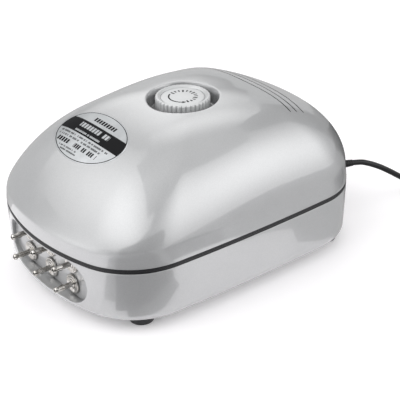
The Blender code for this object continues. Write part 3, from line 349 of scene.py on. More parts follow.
# What some of the moulded and cast finishes have of their own.
CORD_GRAIN = {"grain": 2400, "strength": 0.15, "specular_ior_level": 0.35}
KNOB_GRAIN = {"metallic": 0.25, "strength": 0.12, "coat_weight": 0.35}
MAGNET_GRAIN = {"metallic": 0.4, "grain": 900, "strength": 0.4}
HOSE_DEPTH = {"subsurface_weight": 0.25, "subsurface_scale": 0.002}
# Moulded and cast finishes: colour, colour of the darker patches, roughness, and anything of their own.
GRAINED = {
    "black_rubber": ((0.014, 0.014, 0.016), (0.008, 0.008, 0.010), 0.42, {"grain": 1500}),
    "cord_rubber": ((0.012, 0.012, 0.013), (0.007, 0.007, 0.008), 0.34, CORD_GRAIN),
    "diaphragm_rubber": ((0.045, 0.043, 0.042), (0.030, 0.029, 0.028), 0.7, {}),
    "knob_plastic": ((0.60, 0.605, 0.61), (0.54, 0.55, 0.555), 0.34, KNOB_GRAIN),
    "white_plastic": ((0.82, 0.82, 0.79), (0.76, 0.755, 0.72), 0.46, {}),
    "magnet": ((0.11, 0.11, 0.12), (0.06, 0.06, 0.065), 0.55, MAGNET_GRAIN),
    "hose_silicone": ((0.74, 0.71, 0.65), (0.68, 0.65, 0.58), 0.42, HOSE_DEPTH),
    "wire_blue": ((0.07, 0.16, 0.52), (0.05, 0.12, 0.42), 0.42, {}),
    "ink": ((0.012, 0.012, 0.014), (0.008, 0.008, 0.010), 0.5, {"strength": 0.1, "specular_ior_level": 0.2}),
}
# Finishes of layers or turns: colour, colour between them, roughness, metallic, how many to a metre,
# the axis they are stacked along, and how deep they are.
STRIPED = {
    "laminations": ((0.36, 0.36, 0.38), (0.10, 0.10, 0.11), 0.45, 0.9, 3182, "Z", 0.12),
    "copper_winding": ((0.78, 0.33, 0.14), (0.16, 0.05, 0.02), 0.3, 1.0, 3818, "Y", 0.15),
}
LOOKS = {
    "silver_paint": silver_paint(),
    "nickel": nickel(),
    "steel": steel(),
    "board_green": board_green(),
    "felt": felt(),
    "label_film": label_film(),
}
LOOKS |= {name: grained(name, *numbers, **more) for name, (*numbers, more) in GRAINED.items()}
LOOKS |= {name: striped(name, *numbers) for name, numbers in STRIPED.items()}

# ------------------------------ tools


def piece(name, mesh, finish, body="pump", stands_for=()):
    """Puts a finished mesh or curve in the scene, riding on its CAD body."""
    obj = link(bpy.data.objects.new(name, mesh))
    mesh.name = name
    mesh.materials.append(LOOKS[finish])
    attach(obj, body)
    if stands_for:
        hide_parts(*stands_for)
    return obj


SHARP = 30  # degrees


def shaded(mesh, sharp=SHARP):
    """The mesh, smooth but for its edges that are sharper than an angle in degrees."""
    mesh.shade_smooth()
    mesh.set_sharp_from_angle(angle=math.radians(sharp))
    return mesh


def mesh_from(points, faces, sharp):
    """A closed mesh from points in millimetres, welded, with its normals out."""
    mesh = bpy.data.meshes.new("shape")
    mesh.from_pydata([tuple(p) for p in np.asarray(points, float) * MM], [], faces)
    bm = bmesh.new()
    bm.from_mesh(mesh)
    bmesh.ops.remove_doubles(bm, verts=bm.verts, dist=1e-7)
    bmesh.ops.dissolve_degenerate(bm, edges=bm.edges, dist=1e-8)
    bmesh.ops.recalc_face_normals(bm, faces=bm.faces)
    bm.to_mesh(mesh)
    bm.free()
    return shaded(mesh, sharp)


def band_faces(rows, count, closed):
    """Quads between neighbouring rows of a round stack."""
    faces = []
    for row in range(rows if closed else rows - 1):
        low, high = row * count, (row + 1) % rows * count
        for i in range(count):
            j = (i + 1) % count
            faces.append((low + i, low + j, high + j, high + i))
    return faces


def stack(rows, closed=False, caps=False, sharp=SHARP):
    """A mesh through rows of equally many points: closed on itself, or capped, or ending at poles."""
    rows = [np.asarray(row, float) for row in rows]
    count = len(rows[0])
    faces = band_faces(len(rows), count, closed)
    if caps:
        faces += [tuple(range(count))[::-1], tuple(range((len(rows) - 1) * count, len(rows) * count))]
    return mesh_from(np.concatenate(rows), faces, sharp)


def lathe_rows(profile, steps, along=(0, 0, 1), foot=(0, 0, 0)):
    """Rows of a turned piece from (radius, height) points about an axis."""
    turn = np.array(Vector(along).to_track_quat("Z", "Y").to_matrix())
    angles = np.arange(steps) * TAU / steps
    rows = []
    for radius, height in profile:
        flat = np.stack([radius * np.cos(angles), radius * np.sin(angles), np.full(steps, float(height))], 1)
        rows.append(flat @ turn.T + np.asarray(foot, float))
    return rows


def lathe(profile, steps, along=(0, 0, 1), foot=(0, 0, 0), closed=False):
    return stack(lathe_rows(profile, steps, along, foot), closed)


def joined(meshes):
    """Several separate meshes as one."""
    bm = bmesh.new()
    for mesh in meshes:
        bm.from_mesh(mesh)
    made = bpy.data.meshes.new("shape")
    bm.to_mesh(made)
    bm.free()
    return shaded(made)


def carved(mesh, *steps):
    """The mesh after exact booleans, each (operation, other mesh)."""
    holder = link(bpy.data.objects.new("holder", mesh))
    helpers = []
    for operation, other in steps:
        helper = link(bpy.data.objects.new("helper", other))
        helpers.append(helper)
        modifier = holder.modifiers.new(operation, "BOOLEAN")
        modifier.operation = operation
        modifier.solver = "EXACT"
        modifier.object = helper
    bpy.context.view_layer.update()
    done = bpy.data.meshes.new_from_object(holder.evaluated_get(bpy.context.evaluated_depsgraph_get()))
    for obj in (holder, *helpers):
        bpy.data.objects.remove(obj)
    return shaded(done)


def rod(radius, low, high, steps, along=(0, 0, 1), foot=(0, 0, 0)):
    """A plain cylinder, only for cutting with."""
    return lathe([(0, low), (radius, low), (radius, high), (0, high)], steps, along, foot)


def squarish(angle, wide, high, power):
    """A point round a rounded rectangle: power 1 makes an ellipse, and a lower power squarer corners."""
    across, up = math.cos(angle), math.sin(angle)
    return abs(across) ** power * math.copysign(wide, across), abs(up) ** power * math.copysign(high, up)


def bezier(start, corner, end, steps):
    """Points of a rounded corner, ends included."""
    start, corner, end = (np.asarray(p, float) for p in (start, corner, end))
    return [(1 - t) ** 2 * start + 2 * t * (1 - t) * corner + t * t * end for t in np.linspace(0, 1, steps)]


def catmull(points, per_piece):
    """A smooth curve through points."""
    points = [Vector(p) for p in points]
    ends = [2 * points[0] - points[1], *points, 2 * points[-1] - points[-2]]
    fine = []
    for a, b, c, d in zip(ends, ends[1:], ends[2:], ends[3:]):
        slope, bend, twist = c - a, 2 * a - 5 * b + 4 * c - d, 3 * b - a - 3 * c + d
        for step in range(per_piece):
            t = step / per_piece
            fine.append(0.5 * (2 * b + slope * t + bend * t**2 + twist * t**3))
    return [*fine, points[-1]]


# ------------------------------ cord

CORD_RADIUS = 2.25
BOOT_REACH = 14.5
CORD_EXIT = (45.3, 135.9, 41.5)
CORD_ROUTE = [
    CORD_EXIT,
    (48.2, 143.6, 40.6),
    (50.5, 150.2, 38.1),
    (52.6, 156.8, 34.7),
    (54.5, 163.6, 30.5),
    (56.2, 170.8, 25.5),
    (57.6, 178.2, 20.1),
    (58.7, 185.6, 14.9),
    (59.5, 193.0, 10.4),
    (59.9, 200.6, 6.8),
    (60.1, 208.4, 4.3),
    (60.0, 216.2, 3.0),
]
PLUG_TAIL = (129.4, 205, 6.8)
PLUG_LEAD_IN = [(130.6, 215, 6.95), PLUG_TAIL]
COIL_CENTRE = (93.4, 225)
COIL_OUTER = 33.4  # the outermost turn's radius, on both layers
TURN_APART = 4.5
LAYER_LOW_Z, LAYER_HIGH_Z = 2.75, 7.25
# Angles in degrees, running down as the coil is wound clockwise from the left.
COIL_START, COIL_END, COIL_STEP = 180, -2530, 20.0
INWARD_SHIFTS = [(-40 - 360 * turn, -160 - 360 * turn) for turn in range(3)]
CLIMB = (20 - 1080, -100 - 1080)
OUTWARD_SHIFTS = [(100 - 360 * turn, -20 - 360 * turn) for turn in range(4, 8)]


def ease(value, start, end):
    """0 before start, 1 after end, smooth in between. Start is above end."""
    share = min(max((start - value) / (start - end), 0), 1)
    return share * share * (3 - 2 * share)


def coil_points():
    """Four turns inwards on the floor, then four outwards on top, each moving over in a third of a turn."""
    points = []
    for angle in np.arange(COIL_START, COIL_END, -COIL_STEP):
        inwards = sum(ease(angle, *shift) for shift in INWARD_SHIFTS)
        outwards = sum(ease(angle, *shift) for shift in OUTWARD_SHIFTS)
        radius = COIL_OUTER + TURN_APART * (outwards - inwards)
        z = LAYER_LOW_Z + (LAYER_HIGH_Z - LAYER_LOW_Z) * ease(angle, *CLIMB)
        x = COIL_CENTRE[0] + radius * math.cos(math.radians(angle))
        y = COIL_CENTRE[1] + radius * math.sin(math.radians(angle))
        points.append((x, y, z))
    return points


def make_cord():
    line = catmull(CORD_ROUTE + coil_points() + PLUG_LEAD_IN, per_piece=5)
    curve = bpy.data.curves.new("mains_cord", "CURVE")
    curve.dimensions = "3D"
    curve.bevel_depth = CORD_RADIUS * MM
    curve.bevel_resolution = 5
    curve.use_fill_caps = True
    spline = curve.splines.new("POLY")
    spline.points.add(len(line) - 1)
    for target, point in zip(spline.points, line):
        target.co = (*(point * MM), 1)
    return piece("mains_cord", curve, "cord_rubber", stands_for=("power_cord", "cord_coil"))


TIE_AZIMUTH, TIE_CLEARANCE = 75, 0.1
# The strap's section: how far across it each point is, and how thick the strap is there.
TIE_SECTION = ((-4.2, 0.0), (-4.2, 0.28), (-3.9, 0.42), (3.9, 0.42), (4.2, 0.28), (4.2, 0.0))


def make_tie():
    """Strap closed round one side of the coil."""
    middle_r, middle_z = COIL_OUTER - 1.5 * TURN_APART, (LAYER_LOW_Z + LAYER_HIGH_Z) / 2
    half_r = 1.5 * TURN_APART + CORD_RADIUS + TIE_CLEARANCE
    half_z = (LAYER_HIGH_Z - LAYER_LOW_Z) / 2 + CORD_RADIUS + TIE_CLEARANCE
    azimuth = math.radians(TIE_AZIMUTH)
    out = Vector((math.cos(azimuth), math.sin(azimuth), 0))
    side = Vector((-out.y, out.x, 0))
    rows = []
    for across, thick in TIE_SECTION:
        points = []
        for angle in np.arange(72) * TAU / 72:
            r, z = squarish(angle, half_r + thick * 0.9, half_z + thick * 0.6, 0.35)
            spot = Vector((*COIL_CENTRE, 0)) + out * (middle_r + r) + side * across
            points.append((spot.x, spot.y, middle_z + z))
        rows.append(points)
    return piece("cord_tie", stack(rows, closed=True, sharp=60), "black_rubber")


def plug_section(along, wide, high):
    """One row of the plug's body, at a distance from the end of its tail."""
    points = []
    for angle in np.arange(48) * TAU / 48:
        x, z = squarish(angle, wide, high, 0.55)
        points.append((PLUG_TAIL[0] + x, PLUG_TAIL[1] - along, PLUG_TAIL[2] + z))
    return points


RING_PITCH = 1.9  # of the rings on the plug's tail and on the strain relief
TAIL_RINGS, TAIL_TAPER = 4, 0.28
FIRST_RIDGE, RIDGE_PITCH = 18.5, 2.6
PIN_ROOT, PIN_HALF_SPACING = 36.5, 4.65
PIN_SLEEVE = [(0, 0), (1.9, 0), (1.98, 0.3), (1.98, 9.6), (1.9, 9.9), (0, 9.9)]
PIN_TIP = [(0, 9.5), (1.75, 9.5), (1.95, 9.7), (1.95, 18.0), (1.7, 18.9), (1.1, 19.4), (0, 19.5)]


def make_plug_body():
    """Ringed tail, waisted grip with three finger ridges, and a flat face."""
    # Each section is how far along it is, then half its width and height.
    sections = [(0, 2.7, 2.7), (0.2, 3.2, 3.2)]
    for ring in range(TAIL_RINGS):
        wider, higher = ring * TAIL_TAPER, ring * TAIL_TAPER * 0.8
        for along, half in ((0.6, 3.4), (1.6, 3.5), (1.8, 2.9), (2.3, 2.9)):
            sections.append((along + ring * RING_PITCH, half + wider, half + higher))
    sections += [(8.6, 4.5, 4.4), (11, 5.9, 5.1), (14, 7.0, 5.6), (17, 7.6, 5.9)]
    for ridge in range(3):
        start = FIRST_RIDGE + ridge * RIDGE_PITCH
        for along, wide, high in ((0, 7.6, 5.9), (0.5, 8.1, 6.25), (1.2, 8.1, 6.25), (1.7, 7.6, 5.9)):
            sections.append((start + along, wide, high))
    sections += [(27, 8.0, 6.2), (33, 8.35, 6.35), (35.6, 8.3, 6.3), (36.6, 8.0, 6.0), (37, 7.5, 5.6)]
    body = stack([plug_section(*section) for section in sections], caps=True, sharp=40)
    return piece("plug_body", body, "cord_rubber", stands_for=("mains_plug",))


def make_pins(name, profile, finish):
    """The same part of both pins."""
    pins = []
    for side in (-1, 1):
        foot = (PLUG_TAIL[0] + side * PIN_HALF_SPACING, PLUG_TAIL[1] - PIN_ROOT, PLUG_TAIL[2])
        pins.append(lathe(profile, 28, (0, -1, 0), foot))
    return piece(name, joined(pins), finish)


def make_plug():
    """A flat moulded plug with two round pins."""
    body = make_plug_body()
    sleeves = make_pins("plug_pin_sleeves", PIN_SLEEVE, "cord_rubber")
    tips = make_pins("plug_pin_tips", PIN_TIP, "nickel")
    return [body, sleeves, tips]


cord = make_cord()
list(make_plug())
make_tie()

# ------------------------------ the shells

ARC_STEPS = 80  # along each of the outline's arcs


def make_outline():
    """Dense points round the case in plan, with the outward normal at each."""
    points, normals = [], []
    for end_bow, corner, end in ((REAR_BOW, REAR_CORNER, 1), (FRONT_BOW, FRONT_CORNER, -1)):
        side_centre = np.array((HALF_WIDTH - SIDE_BOW, 0.0))
        end_centre = np.array((0.0, HALF_LENGTH - end_bow))
        apart = end_centre - side_centre
        length = np.hypot(*apart)
        to_side, to_end = SIDE_BOW - corner, end_bow - corner
        along = (length**2 + to_side**2 - to_end**2) / (2 * length)
        across = math.sqrt(to_side**2 - along**2)
        unit = apart / length
        corner_centre = side_centre + unit * along + np.array((-unit[1], unit[0])) * across
        first = math.atan2(*(corner_centre - side_centre)[::-1])
        second = math.atan2(*(corner_centre - end_centre)[::-1])
        arcs = [(side_centre, SIDE_BOW, 0, first), (corner_centre, corner, first, second)]
        arcs.append((end_centre, end_bow, second, math.pi / 2))
        for centre, radius, start, stop in arcs:
            for angle in np.linspace(start, stop, ARC_STEPS, endpoint=False):
                for mirror in (1, -1):
                    normal = np.array((mirror * math.cos(angle), end * math.sin(angle)))
                    points.append(np.array((mirror * centre[0], end * centre[1])) + radius * normal)
                    normals.append(normal)
    return np.array(points), np.array(normals)


OUTLINE, OUTLINE_NORMALS = make_outline()


def edge_reach(centre, inset, angles):
    """How far the case's outline, moved in by inset, is from a centre in each direction."""
    points = OUTLINE - OUTLINE_NORMALS * inset - np.asarray(centre, float)
    around = np.arctan2(points[:, 1], points[:, 0])
    order = np.argsort(around)
    return np.interp(angles, around[order], np.hypot(points[order, 0], points[order, 1]), period=TAU)


def front_y(x, inset):
    """Where the front of the case is at x: one arc, as far as the pocket reaches."""
    return FRONT_BOW - HALF_LENGTH - np.sqrt((FRONT_BOW - inset) ** 2 - np.asarray(x, float) ** 2)


def dome_height(x, y, inset=SKIRT_DRAFT, high=CREST_Z):
    """Height of the dome above each point, or of its inside with the inside's inset and crest."""
    x, y = np.asarray(x, float), np.asarray(y, float)
    away_y = y - CREST_Y
    away = np.maximum(np.hypot(x, away_y), 1e-9)
    q = np.minimum(away / edge_reach((0, CREST_Y), inset, np.arctan2(away_y, x)), 1)

    def between(side, front, rear):
        return side + (np.where(away_y < 0, front, rear) - side) * np.abs(away_y / away) ** SIDE_SPREAD

    fullness = between(SIDE_FULLNESS, FRONT_FULLNESS, REAR_FULLNESS)
    roundness = between(SIDE_ROUNDNESS, FRONT_ROUNDNESS, REAR_ROUNDNESS)
    return SKIRT_TOP_Z + (high - SKIRT_TOP_Z) * np.maximum(1 - q**fullness, 0) ** (1 / roundness)


def everywhere(value):
    """A value for each direction round a shell, from one value or from as many."""
    return np.broadcast_to(np.asarray(value, float), AROUND)


class Shell:
    """Rows of a shell round a centre, from (reach, height) for all its directions at once."""

    def __init__(self, centre):
        self.centre = np.asarray(centre, float)
        self.angles = np.arange(AROUND) * TAU / AROUND
        self.rows = []

    def spots(self, reach):
        return self.centre[0] + reach * np.cos(self.angles), self.centre[1] + reach * np.sin(self.angles)

    def edge(self, inset):
        return edge_reach(self.centre, inset, self.angles)

    def add(self, reach, height):
        x, y = self.spots(everywhere(reach))
        self.rows.append(np.stack([x, y, everywhere(height)], 1))

    def add_all(self, pairs):
        for reach, height in pairs:
            self.add(reach, height)

    def add_corner(self, start, corner, end, steps):
        """A rounded corner, each of its three points a (reach, height)."""
        full = [[everywhere(value) for value in pair] for pair in (start, corner, end)]
        self.add_all(bezier(*full, steps))

    def add_lip(self, height, way):
        """The rounded edge of a shell's rim: way is 1 with the shell above it, and -1 with it below."""
        outer = (self.edge(0.05), height + way * LIP)
        self.add_corner(outer, (self.edge(0.02), height), (self.edge(LIP), height), 4)
        self.add_all([(self.edge(WALL - 0.3), height), (self.edge(WALL), height + way * 0.3)])

    def reach_at_height(self, height, inset, high):
        """Where the dome has come down to a height, by halving."""
        edge = self.edge(inset)
        low_share, high_share = np.full(AROUND, 0.3), np.ones(AROUND)
        for _ in range(40):
            middle = (low_share + high_share) / 2
            above = dome_height(*self.spots(edge * middle), inset, high=high) > height
            low_share, high_share = np.where(above, middle, low_share), np.where(above, high_share, middle)
        return edge * low_share

    def add_dome(self, inset, high, start, stop, steps):
        """Rows over the dome between two reaches, closer together towards the steep edge."""
        edge = self.edge(inset)
        first, last = np.arcsin(start / edge), np.arcsin(np.minimum(stop / edge, 1))
        for share in np.linspace(0, 1, steps):
            reach = edge * np.sin(first + (last - first) * share)
            self.add(reach, dome_height(*self.spots(reach), inset, high=high))


RIM_ROUND, CREASE_ROUND, LIP = 1.1, 2.8, 0.45  # rounding at the well's rim, the crease and the seam
WELL_SLOPE, WELL_SLOPE_DEPTH = 1.5, 4.0  # the well narrows below its rim
SPINDLE_HOLE = 4.9
POST_RADIUS, SCREW_RADIUS, PILOT_TOP_Z = 6, 2.3, 77.3
BASE_LIP_Z = 49.7  # the base wall stops a little under the seam strip


def add_well(shell):
    """From the spindle's hole over the well's floor and up its wall, to the outer reach of its rim."""
    floor, wall = WELL_FLOOR_Z, WELL_RADIUS
    throat, outside = wall - WELL_SLOPE, wall + RIM_ROUND
    shell.add_all([(SPINDLE_HOLE, floor - 0.3), (SPINDLE_HOLE + 0.3, floor), (12, floor), (20, floor)])
    shell.add_corner((throat - 1.6, floor), (throat, floor), (throat, floor + 1.6), 5)
    rim = dome_height(*shell.spots(everywhere(wall)))
    shoulder = rim - WELL_SLOPE_DEPTH
    shell.add_corner((throat, shoulder - 0.5), (throat, shoulder), (throat + 0.3, shoulder + 0.45), 3)
    shell.add_corner((wall - 0.45, rim - 0.9), (wall, rim), (outside, dome_height(*shell.spots(outside))), 6)
    return outside


def skirt_inset(z):
    """Inset of the cover's outer wall at a height."""
    return SKIRT_DRAFT * (z - COVER_RIM_Z) / (SKIRT_TOP_Z - COVER_RIM_Z)


def add_outside(shell, start):
    """Over the dome, round the crease and down the skirt."""
    low, high = SKIRT_TOP_Z - CREASE_ROUND, SKIRT_TOP_Z + CREASE_ROUND
    stop = shell.reach_at_height(high, SKIRT_DRAFT, CREST_Z)
    shell.add_dome(SKIRT_DRAFT, CREST_Z, start, stop, 58)
    crease = (shell.edge(SKIRT_DRAFT), SKIRT_TOP_Z)
    shell.add_corner((stop, high), crease, (shell.edge(skirt_inset(low)), low), 8)
    shell.add_all([(shell.edge(skirt_inset(z)), z) for z in (58.2, 56.0)])


def add_inside(shell):
    """Up the skirt's inner wall, over the inside of the dome to the well, and down round the well's cup."""
    shell.add_all([(shell.edge(WALL + 0.5), 58), (shell.edge(WALL + 0.9), 62)])
    inset, cup, below = SKIRT_DRAFT + WALL, WELL_RADIUS + WALL, WELL_FLOOR_Z - WALL
    rows_before = len(shell.rows)
    shell.add_dome(inset, CREST_Z - WALL, everywhere(cup), shell.edge(inset) * 0.9995, 30)
    shell.rows[rows_before:] = shell.rows[rows_before:][::-1]
    shell.add_all([(cup, 112), (cup, below + 0.8), (cup - 0.8, below), (16, below), (SPINDLE_HOLE, below)])


def make_cover():
    shell = Shell((0, KNOB_Y))
    rim = add_well(shell)
    add_outside(shell, rim + 1.0)
    shell.add_lip(COVER_RIM_Z, 1)
    add_inside(shell)
    bosses = joined([cover_boss(spot) for spot in FOOT_SPOTS])
    grooves = joined([groove_blade(*numbers) for numbers in GROOVES])
    return carved(stack(shell.rows, closed=True), ("UNION", bosses), ("DIFFERENCE", grooves))


def cover_boss(spot):
    """Screw boss from the rim up into the middle of the dome's wall, with a blind pilot hole."""
    low, r, bore = COVER_RIM_Z + 0.1, POST_RADIUS, SCREW_RADIUS
    profile = [(0, PILOT_TOP_Z), (bore, PILOT_TOP_Z), (bore, low + 0.3), (bore + 0.3, low)]
    profile += [(r - 0.3, low), (r, low + 0.3), (r, 70), (r, 0), (r / 2, 0), (0, 0)]
    rows = lathe_rows(profile, 36, foot=spot)
    for row in rows[-3:]:  # the closed top, on the dome
        row[:, 2] = dome_height(row[:, 0], row[:, 1], SKIRT_DRAFT + WALL / 2, high=CREST_Z - WALL / 2)
    return stack(rows)


# Grooves across the rear of the dome: where each crosses the middle, and where it ends.
GROOVES = ((63.7, 59.9), (70.8, 66.0), (78.3, 72.8))
GROOVE_HALF_SPAN, GROOVE_WIDTH, GROOVE_DEPTH = 54.5, 1.15, 1.8


def groove_blade(middle_y, end_y):
    """A thin curved blade that follows the dome, shallow at its two ends."""
    rows = []
    for x in np.linspace(-GROOVE_HALF_SPAN, GROOVE_HALF_SPAN, 81):
        y = middle_y - (middle_y - end_y) * (x / GROOVE_HALF_SPAN) ** 2
        fade = min(1, (GROOVE_HALF_SPAN - abs(x)) / 3 + 0.15)
        half = GROOVE_WIDTH / 2 * (0.55 + 0.45 * fade)
        top = float(dome_height(x, y))
        depth = GROOVE_DEPTH * fade
        section = [(-half, 3), (-half, -depth * 0.45), (-half * 0.6, -depth * 0.9), (0, -depth)]
        section += [(-a, b) for a, b in section[2::-1]]
        rows.append([(x, y + across, top + up) for across, up in section])
    return stack(rows, caps=True)


def base_inset(z):
    """Inset of the base's outer wall at a height."""
    return BASE_DRAFT * (BASE_RIM_Z - z) / (BASE_RIM_Z - FOOT_HEIGHT - BASE_FILLET)


PORT_RADIUS, EXIT_RADIUS = 3.3, 4.8  # holes through the base, behind the outlets and for the cord


def add_intake_seat(shell):
    """The hole for the air intake, with the step that the filter cover sits in."""
    seat, step_z = INTAKE_SEAT_RADIUS, 9.8
    shell.add_all([(INTAKE_RADIUS + 0.3, FOOT_HEIGHT + WALL), (INTAKE_RADIUS, FOOT_HEIGHT + WALL - 0.3)])
    shell.add_all([(INTAKE_RADIUS, step_z), (seat, step_z), (seat, 8.6), (seat + 0.4, FOOT_HEIGHT)])


def add_flat(shell, start, stop, height, shares):
    shell.add_all([(start + (stop - start) * share, height) for share in shares])


def add_fillet(shell, inset, radius, height, angles):
    """A quarter round between a level floor and the wall."""
    for angle in angles:
        shell.add(shell.edge(inset + radius * (1 - math.cos(angle))), height + radius * (1 - math.sin(angle)))


def base_rows():
    shell = Shell((0, INTAKE_Y))
    add_intake_seat(shell)
    flat = shell.edge(BASE_DRAFT + BASE_FILLET)
    add_flat(shell, INTAKE_SEAT_RADIUS + 0.4, flat, FOOT_HEIGHT, (0.2, 0.4, 0.6, 0.8))
    add_fillet(shell, BASE_DRAFT, BASE_FILLET, FOOT_HEIGHT, np.linspace(math.pi / 2, 0, 9))
    shell.add_all([(shell.edge(base_inset(z)), z) for z in np.linspace(20, 48, 9)])
    shell.add_lip(BASE_LIP_Z, -1)
    shell.add_all([(shell.edge(WALL + base_inset(z)), z) for z in (48, 36, 24)])
    inner, floor = BASE_FILLET - WALL, FOOT_HEIGHT + WALL
    add_fillet(shell, BASE_DRAFT + WALL, inner, floor, np.linspace(0, math.pi / 2, 6))
    flat = shell.edge(BASE_DRAFT + WALL + inner)
    add_flat(shell, INTAKE_RADIUS + 0.3, flat, floor, (0.75, 0.5, 0.25))
    return shell.rows


def make_base():
    low, high, r = FOOT_HEIGHT + 1, BASE_RIM_Z, POST_RADIUS
    post = [(0, low), (r, low), (r, high - 0.3), (r - 0.3, high), (0, high)]
    posts = [lathe(post, 36, foot=spot) for spot in FOOT_SPOTS]
    holes = [rod(SCREW_RADIUS, 0, 60, 24, foot=spot) for spot in FOOT_SPOTS]
    holes += [rod(PORT_RADIUS, -6, 9, 24, (0, 1, 0), spot) for spot in OUTLET_SPOTS]
    place, outward = wall_frame()
    holes.append(rod(EXIT_RADIUS, -12, 12, 32, outward, place))
    return carved(
        stack(base_rows(), closed=True),
        ("UNION", joined([*posts, pocket_backing()])),
        ("DIFFERENCE", pocket_cutter()),
        ("DIFFERENCE", joined(holes)),
    )


def pocket_backing():
    """The pocket's walls behind the front of the base, up to the middle of the front wall."""
    half_length, half_height = POCKET_HALF_LENGTH + WALL, POCKET_HALF_HEIGHT + WALL
    straight = half_length - half_height
    back = POCKET_FLOOR_Y + WALL
    rows = []
    for angle in np.linspace(-math.pi / 2, math.pi / 2, 49):
        x = math.sin(angle) * half_length
        over = max(abs(x) - straight, 0)
        half = max(math.sqrt(max(half_height**2 - over**2, 0)), 0.05)
        low = min(max(POCKET_Z - half, FOOT_HEIGHT + 1.5), BASE_RIM_Z - 1.5)
        high = min(max(POCKET_Z + half, FOOT_HEIGHT + 1.5), BASE_RIM_Z - 1.5)
        low_front, high_front = (float(front_y(x, max(base_inset(z), 0) + WALL / 2)) for z in (low, high))
        rows.append([(x, high_front, high), (x, back, high), (x, back, low), (x, low_front, low)])
    return stack(rows, caps=True)


def pocket_outline(grow):
    """The pocket's slot shape in X and height, grown outwards."""
    half = POCKET_HALF_HEIGHT + grow
    straight = POCKET_HALF_LENGTH - POCKET_HALF_HEIGHT
    points = []
    for side in (1, -1):
        for angle in np.linspace(-math.pi / 2, math.pi / 2, 29):
            points.append((side * (straight + half * math.cos(angle)), side * half * math.sin(angle)))
        points += [(x, side * half) for x in np.linspace(side, -side, 21)[1:-1] * straight]
    return np.array(points)


CUTTER_MOUTH_Y = -146  # in front of the whole case


def pocket_cutter():
    """A plug of the pocket's shape whose mouth flares, so that the pocket's edge comes out rounded."""
    rows = []

    def add(grow, y_of):
        outline = pocket_outline(grow)
        x, z = outline[:, 0], POCKET_Z + outline[:, 1]
        rows.append(np.stack([x, np.broadcast_to(y_of(x, z), len(x)), z], 1))

    for grow, away in ((-0.6, 0), (-0.2, 0.15), (0, 0.55)):
        add(grow, lambda x, z, away=away: POCKET_FLOOR_Y - away)
    for grow, depth in ((0, 1.7), (0.12, 0.8), (0.45, 0.28), (1.1, 0.0), (1.7, -0.5)):

        def follow(x, z, depth=depth):
            height = np.clip(z, FOOT_HEIGHT + BASE_FILLET, BASE_RIM_Z)
            return front_y(x, base_inset(height)) + depth

        add(grow, follow)
    add(1.7, lambda x, z: CUTTER_MOUTH_Y)
    return stack(rows, caps=True)


BOOT_X = 40


def wall_frame():
    """Where the cord leaves the rear wall, and the wall's outward direction there."""
    centre_y = HALF_LENGTH - REAR_BOW
    y = centre_y + math.sqrt(REAR_BOW**2 - BOOT_X**2)
    outward = Vector((BOOT_X, y - centre_y, 0)).normalized()
    return (BOOT_X, y, CORD_EXIT[2]), tuple(outward)


def make_gasket():
    """Rubber strip in the seam, with two fine grooves and a bead along its outer face."""
    shell = Shell((0, 0))
    low, high = BASE_LIP_Z + 0.05, COVER_RIM_Z - 0.05
    middle = (low + high) / 2
    lower = [(0.6, 0), (0.3, 0.2), (0.2, 0.75), (0.3, 0.95), (0.6, 1.1), (0.3, 1.25), (0.1, 1.5)]
    outer = [(inset, low + up) for inset, up in lower] + [(0.06, middle)]
    outer += [(inset, high - down) for inset, down in lower[::-1]]
    shell.add_all([(shell.edge(inset), z) for inset, z in [*outer, (6.0, high), (6.0, low)]])
    return stack(shell.rows, closed=True)


piece("top_cover_shell", make_cover(), "silver_paint", stands_for=("top_cover",))
piece("base_shell_body", make_base(), "silver_paint", stands_for=("base_shell",))
piece("gasket_strip", make_gasket(), "black_rubber", stands_for=("seam_gasket",))

# ------------------------------ knob


def fluted(profile):
    """Rows of the knob from (radius, height, how deep the grooves between its ridges are there)."""
    count = KNOB_RIDGES * 12
    angles = np.arange(count) * TAU / count
    groove = (1 - np.abs(np.sin(angles * KNOB_RIDGES / 2))) ** 1.6
    rows = []
    for radius, height, depth in profile:
        reach = radius - depth * groove
        x, y = reach * np.cos(angles), KNOB_Y + reach * np.sin(angles)
        rows.append(np.stack([x, y, np.full(count, float(height))], 1))
    return rows


def make_knob():
    r, top, low = KNOB_RADIUS, KNOB_TOP_Z, KNOB_BOTTOM_Z
    seat = CAP_RADIUS + 0.25
    inner, roof = 17.0, 119.1  # radius and top of the hollow under the knob, which has a hub in it
    profile = [(0, top - 2.0, 0), (seat, top - 2.0, 0), (seat, top - 1.3, 0), (seat + 0.2, top - 1.1, 0)]
    profile += [(r - 2.2, top - 0.2, 0), (r - 1.9, top, 0), (r - 1.3, top, 0.1), (r - 0.7, top - 0.12, 0.5)]
    profile += [(r - 0.25, top - 0.45, 0.95), (r, top - 1.0, 1.2), (r, low + 1.0, 1.2)]
    profile += [(r - 0.2, low + 0.35, 1.0), (r - 0.7, low, 0.5), (inner + 0.3, low, 0), (inner, low + 0.3, 0)]
    profile += [(inner, roof - 0.5, 0), (inner - 0.5, roof, 0), (5.8, roof, 0), (5.4, roof - 0.4, 0)]
    profile += [(5.4, 113.6, 0), (5.2, 113.4, 0), (3.5, 113.4, 0), (3.3, 113.6, 0)]
    profile += [(3.3, roof, 0), (0, roof, 0)]
    piece("knob_body", stack(fluted(profile)), "knob_plastic", "knob", ("control_knob",))


def make_knob_cap():
    r, top = CAP_RADIUS - 0.1, DISC_TOP_Z
    profile = [(0, top), (r - 1.4, top), (r - 0.9, top - 0.05), (r - 0.3, top - 0.2), (r, top - 0.5)]
    profile += [(r, top - 0.9), (0, top - 0.9)]
    mesh = lathe(profile, 96, foot=(0, KNOB_Y, 0))
    piece("knob_cap_disc", mesh, "knob_plastic", "knob", ("knob_cap",))


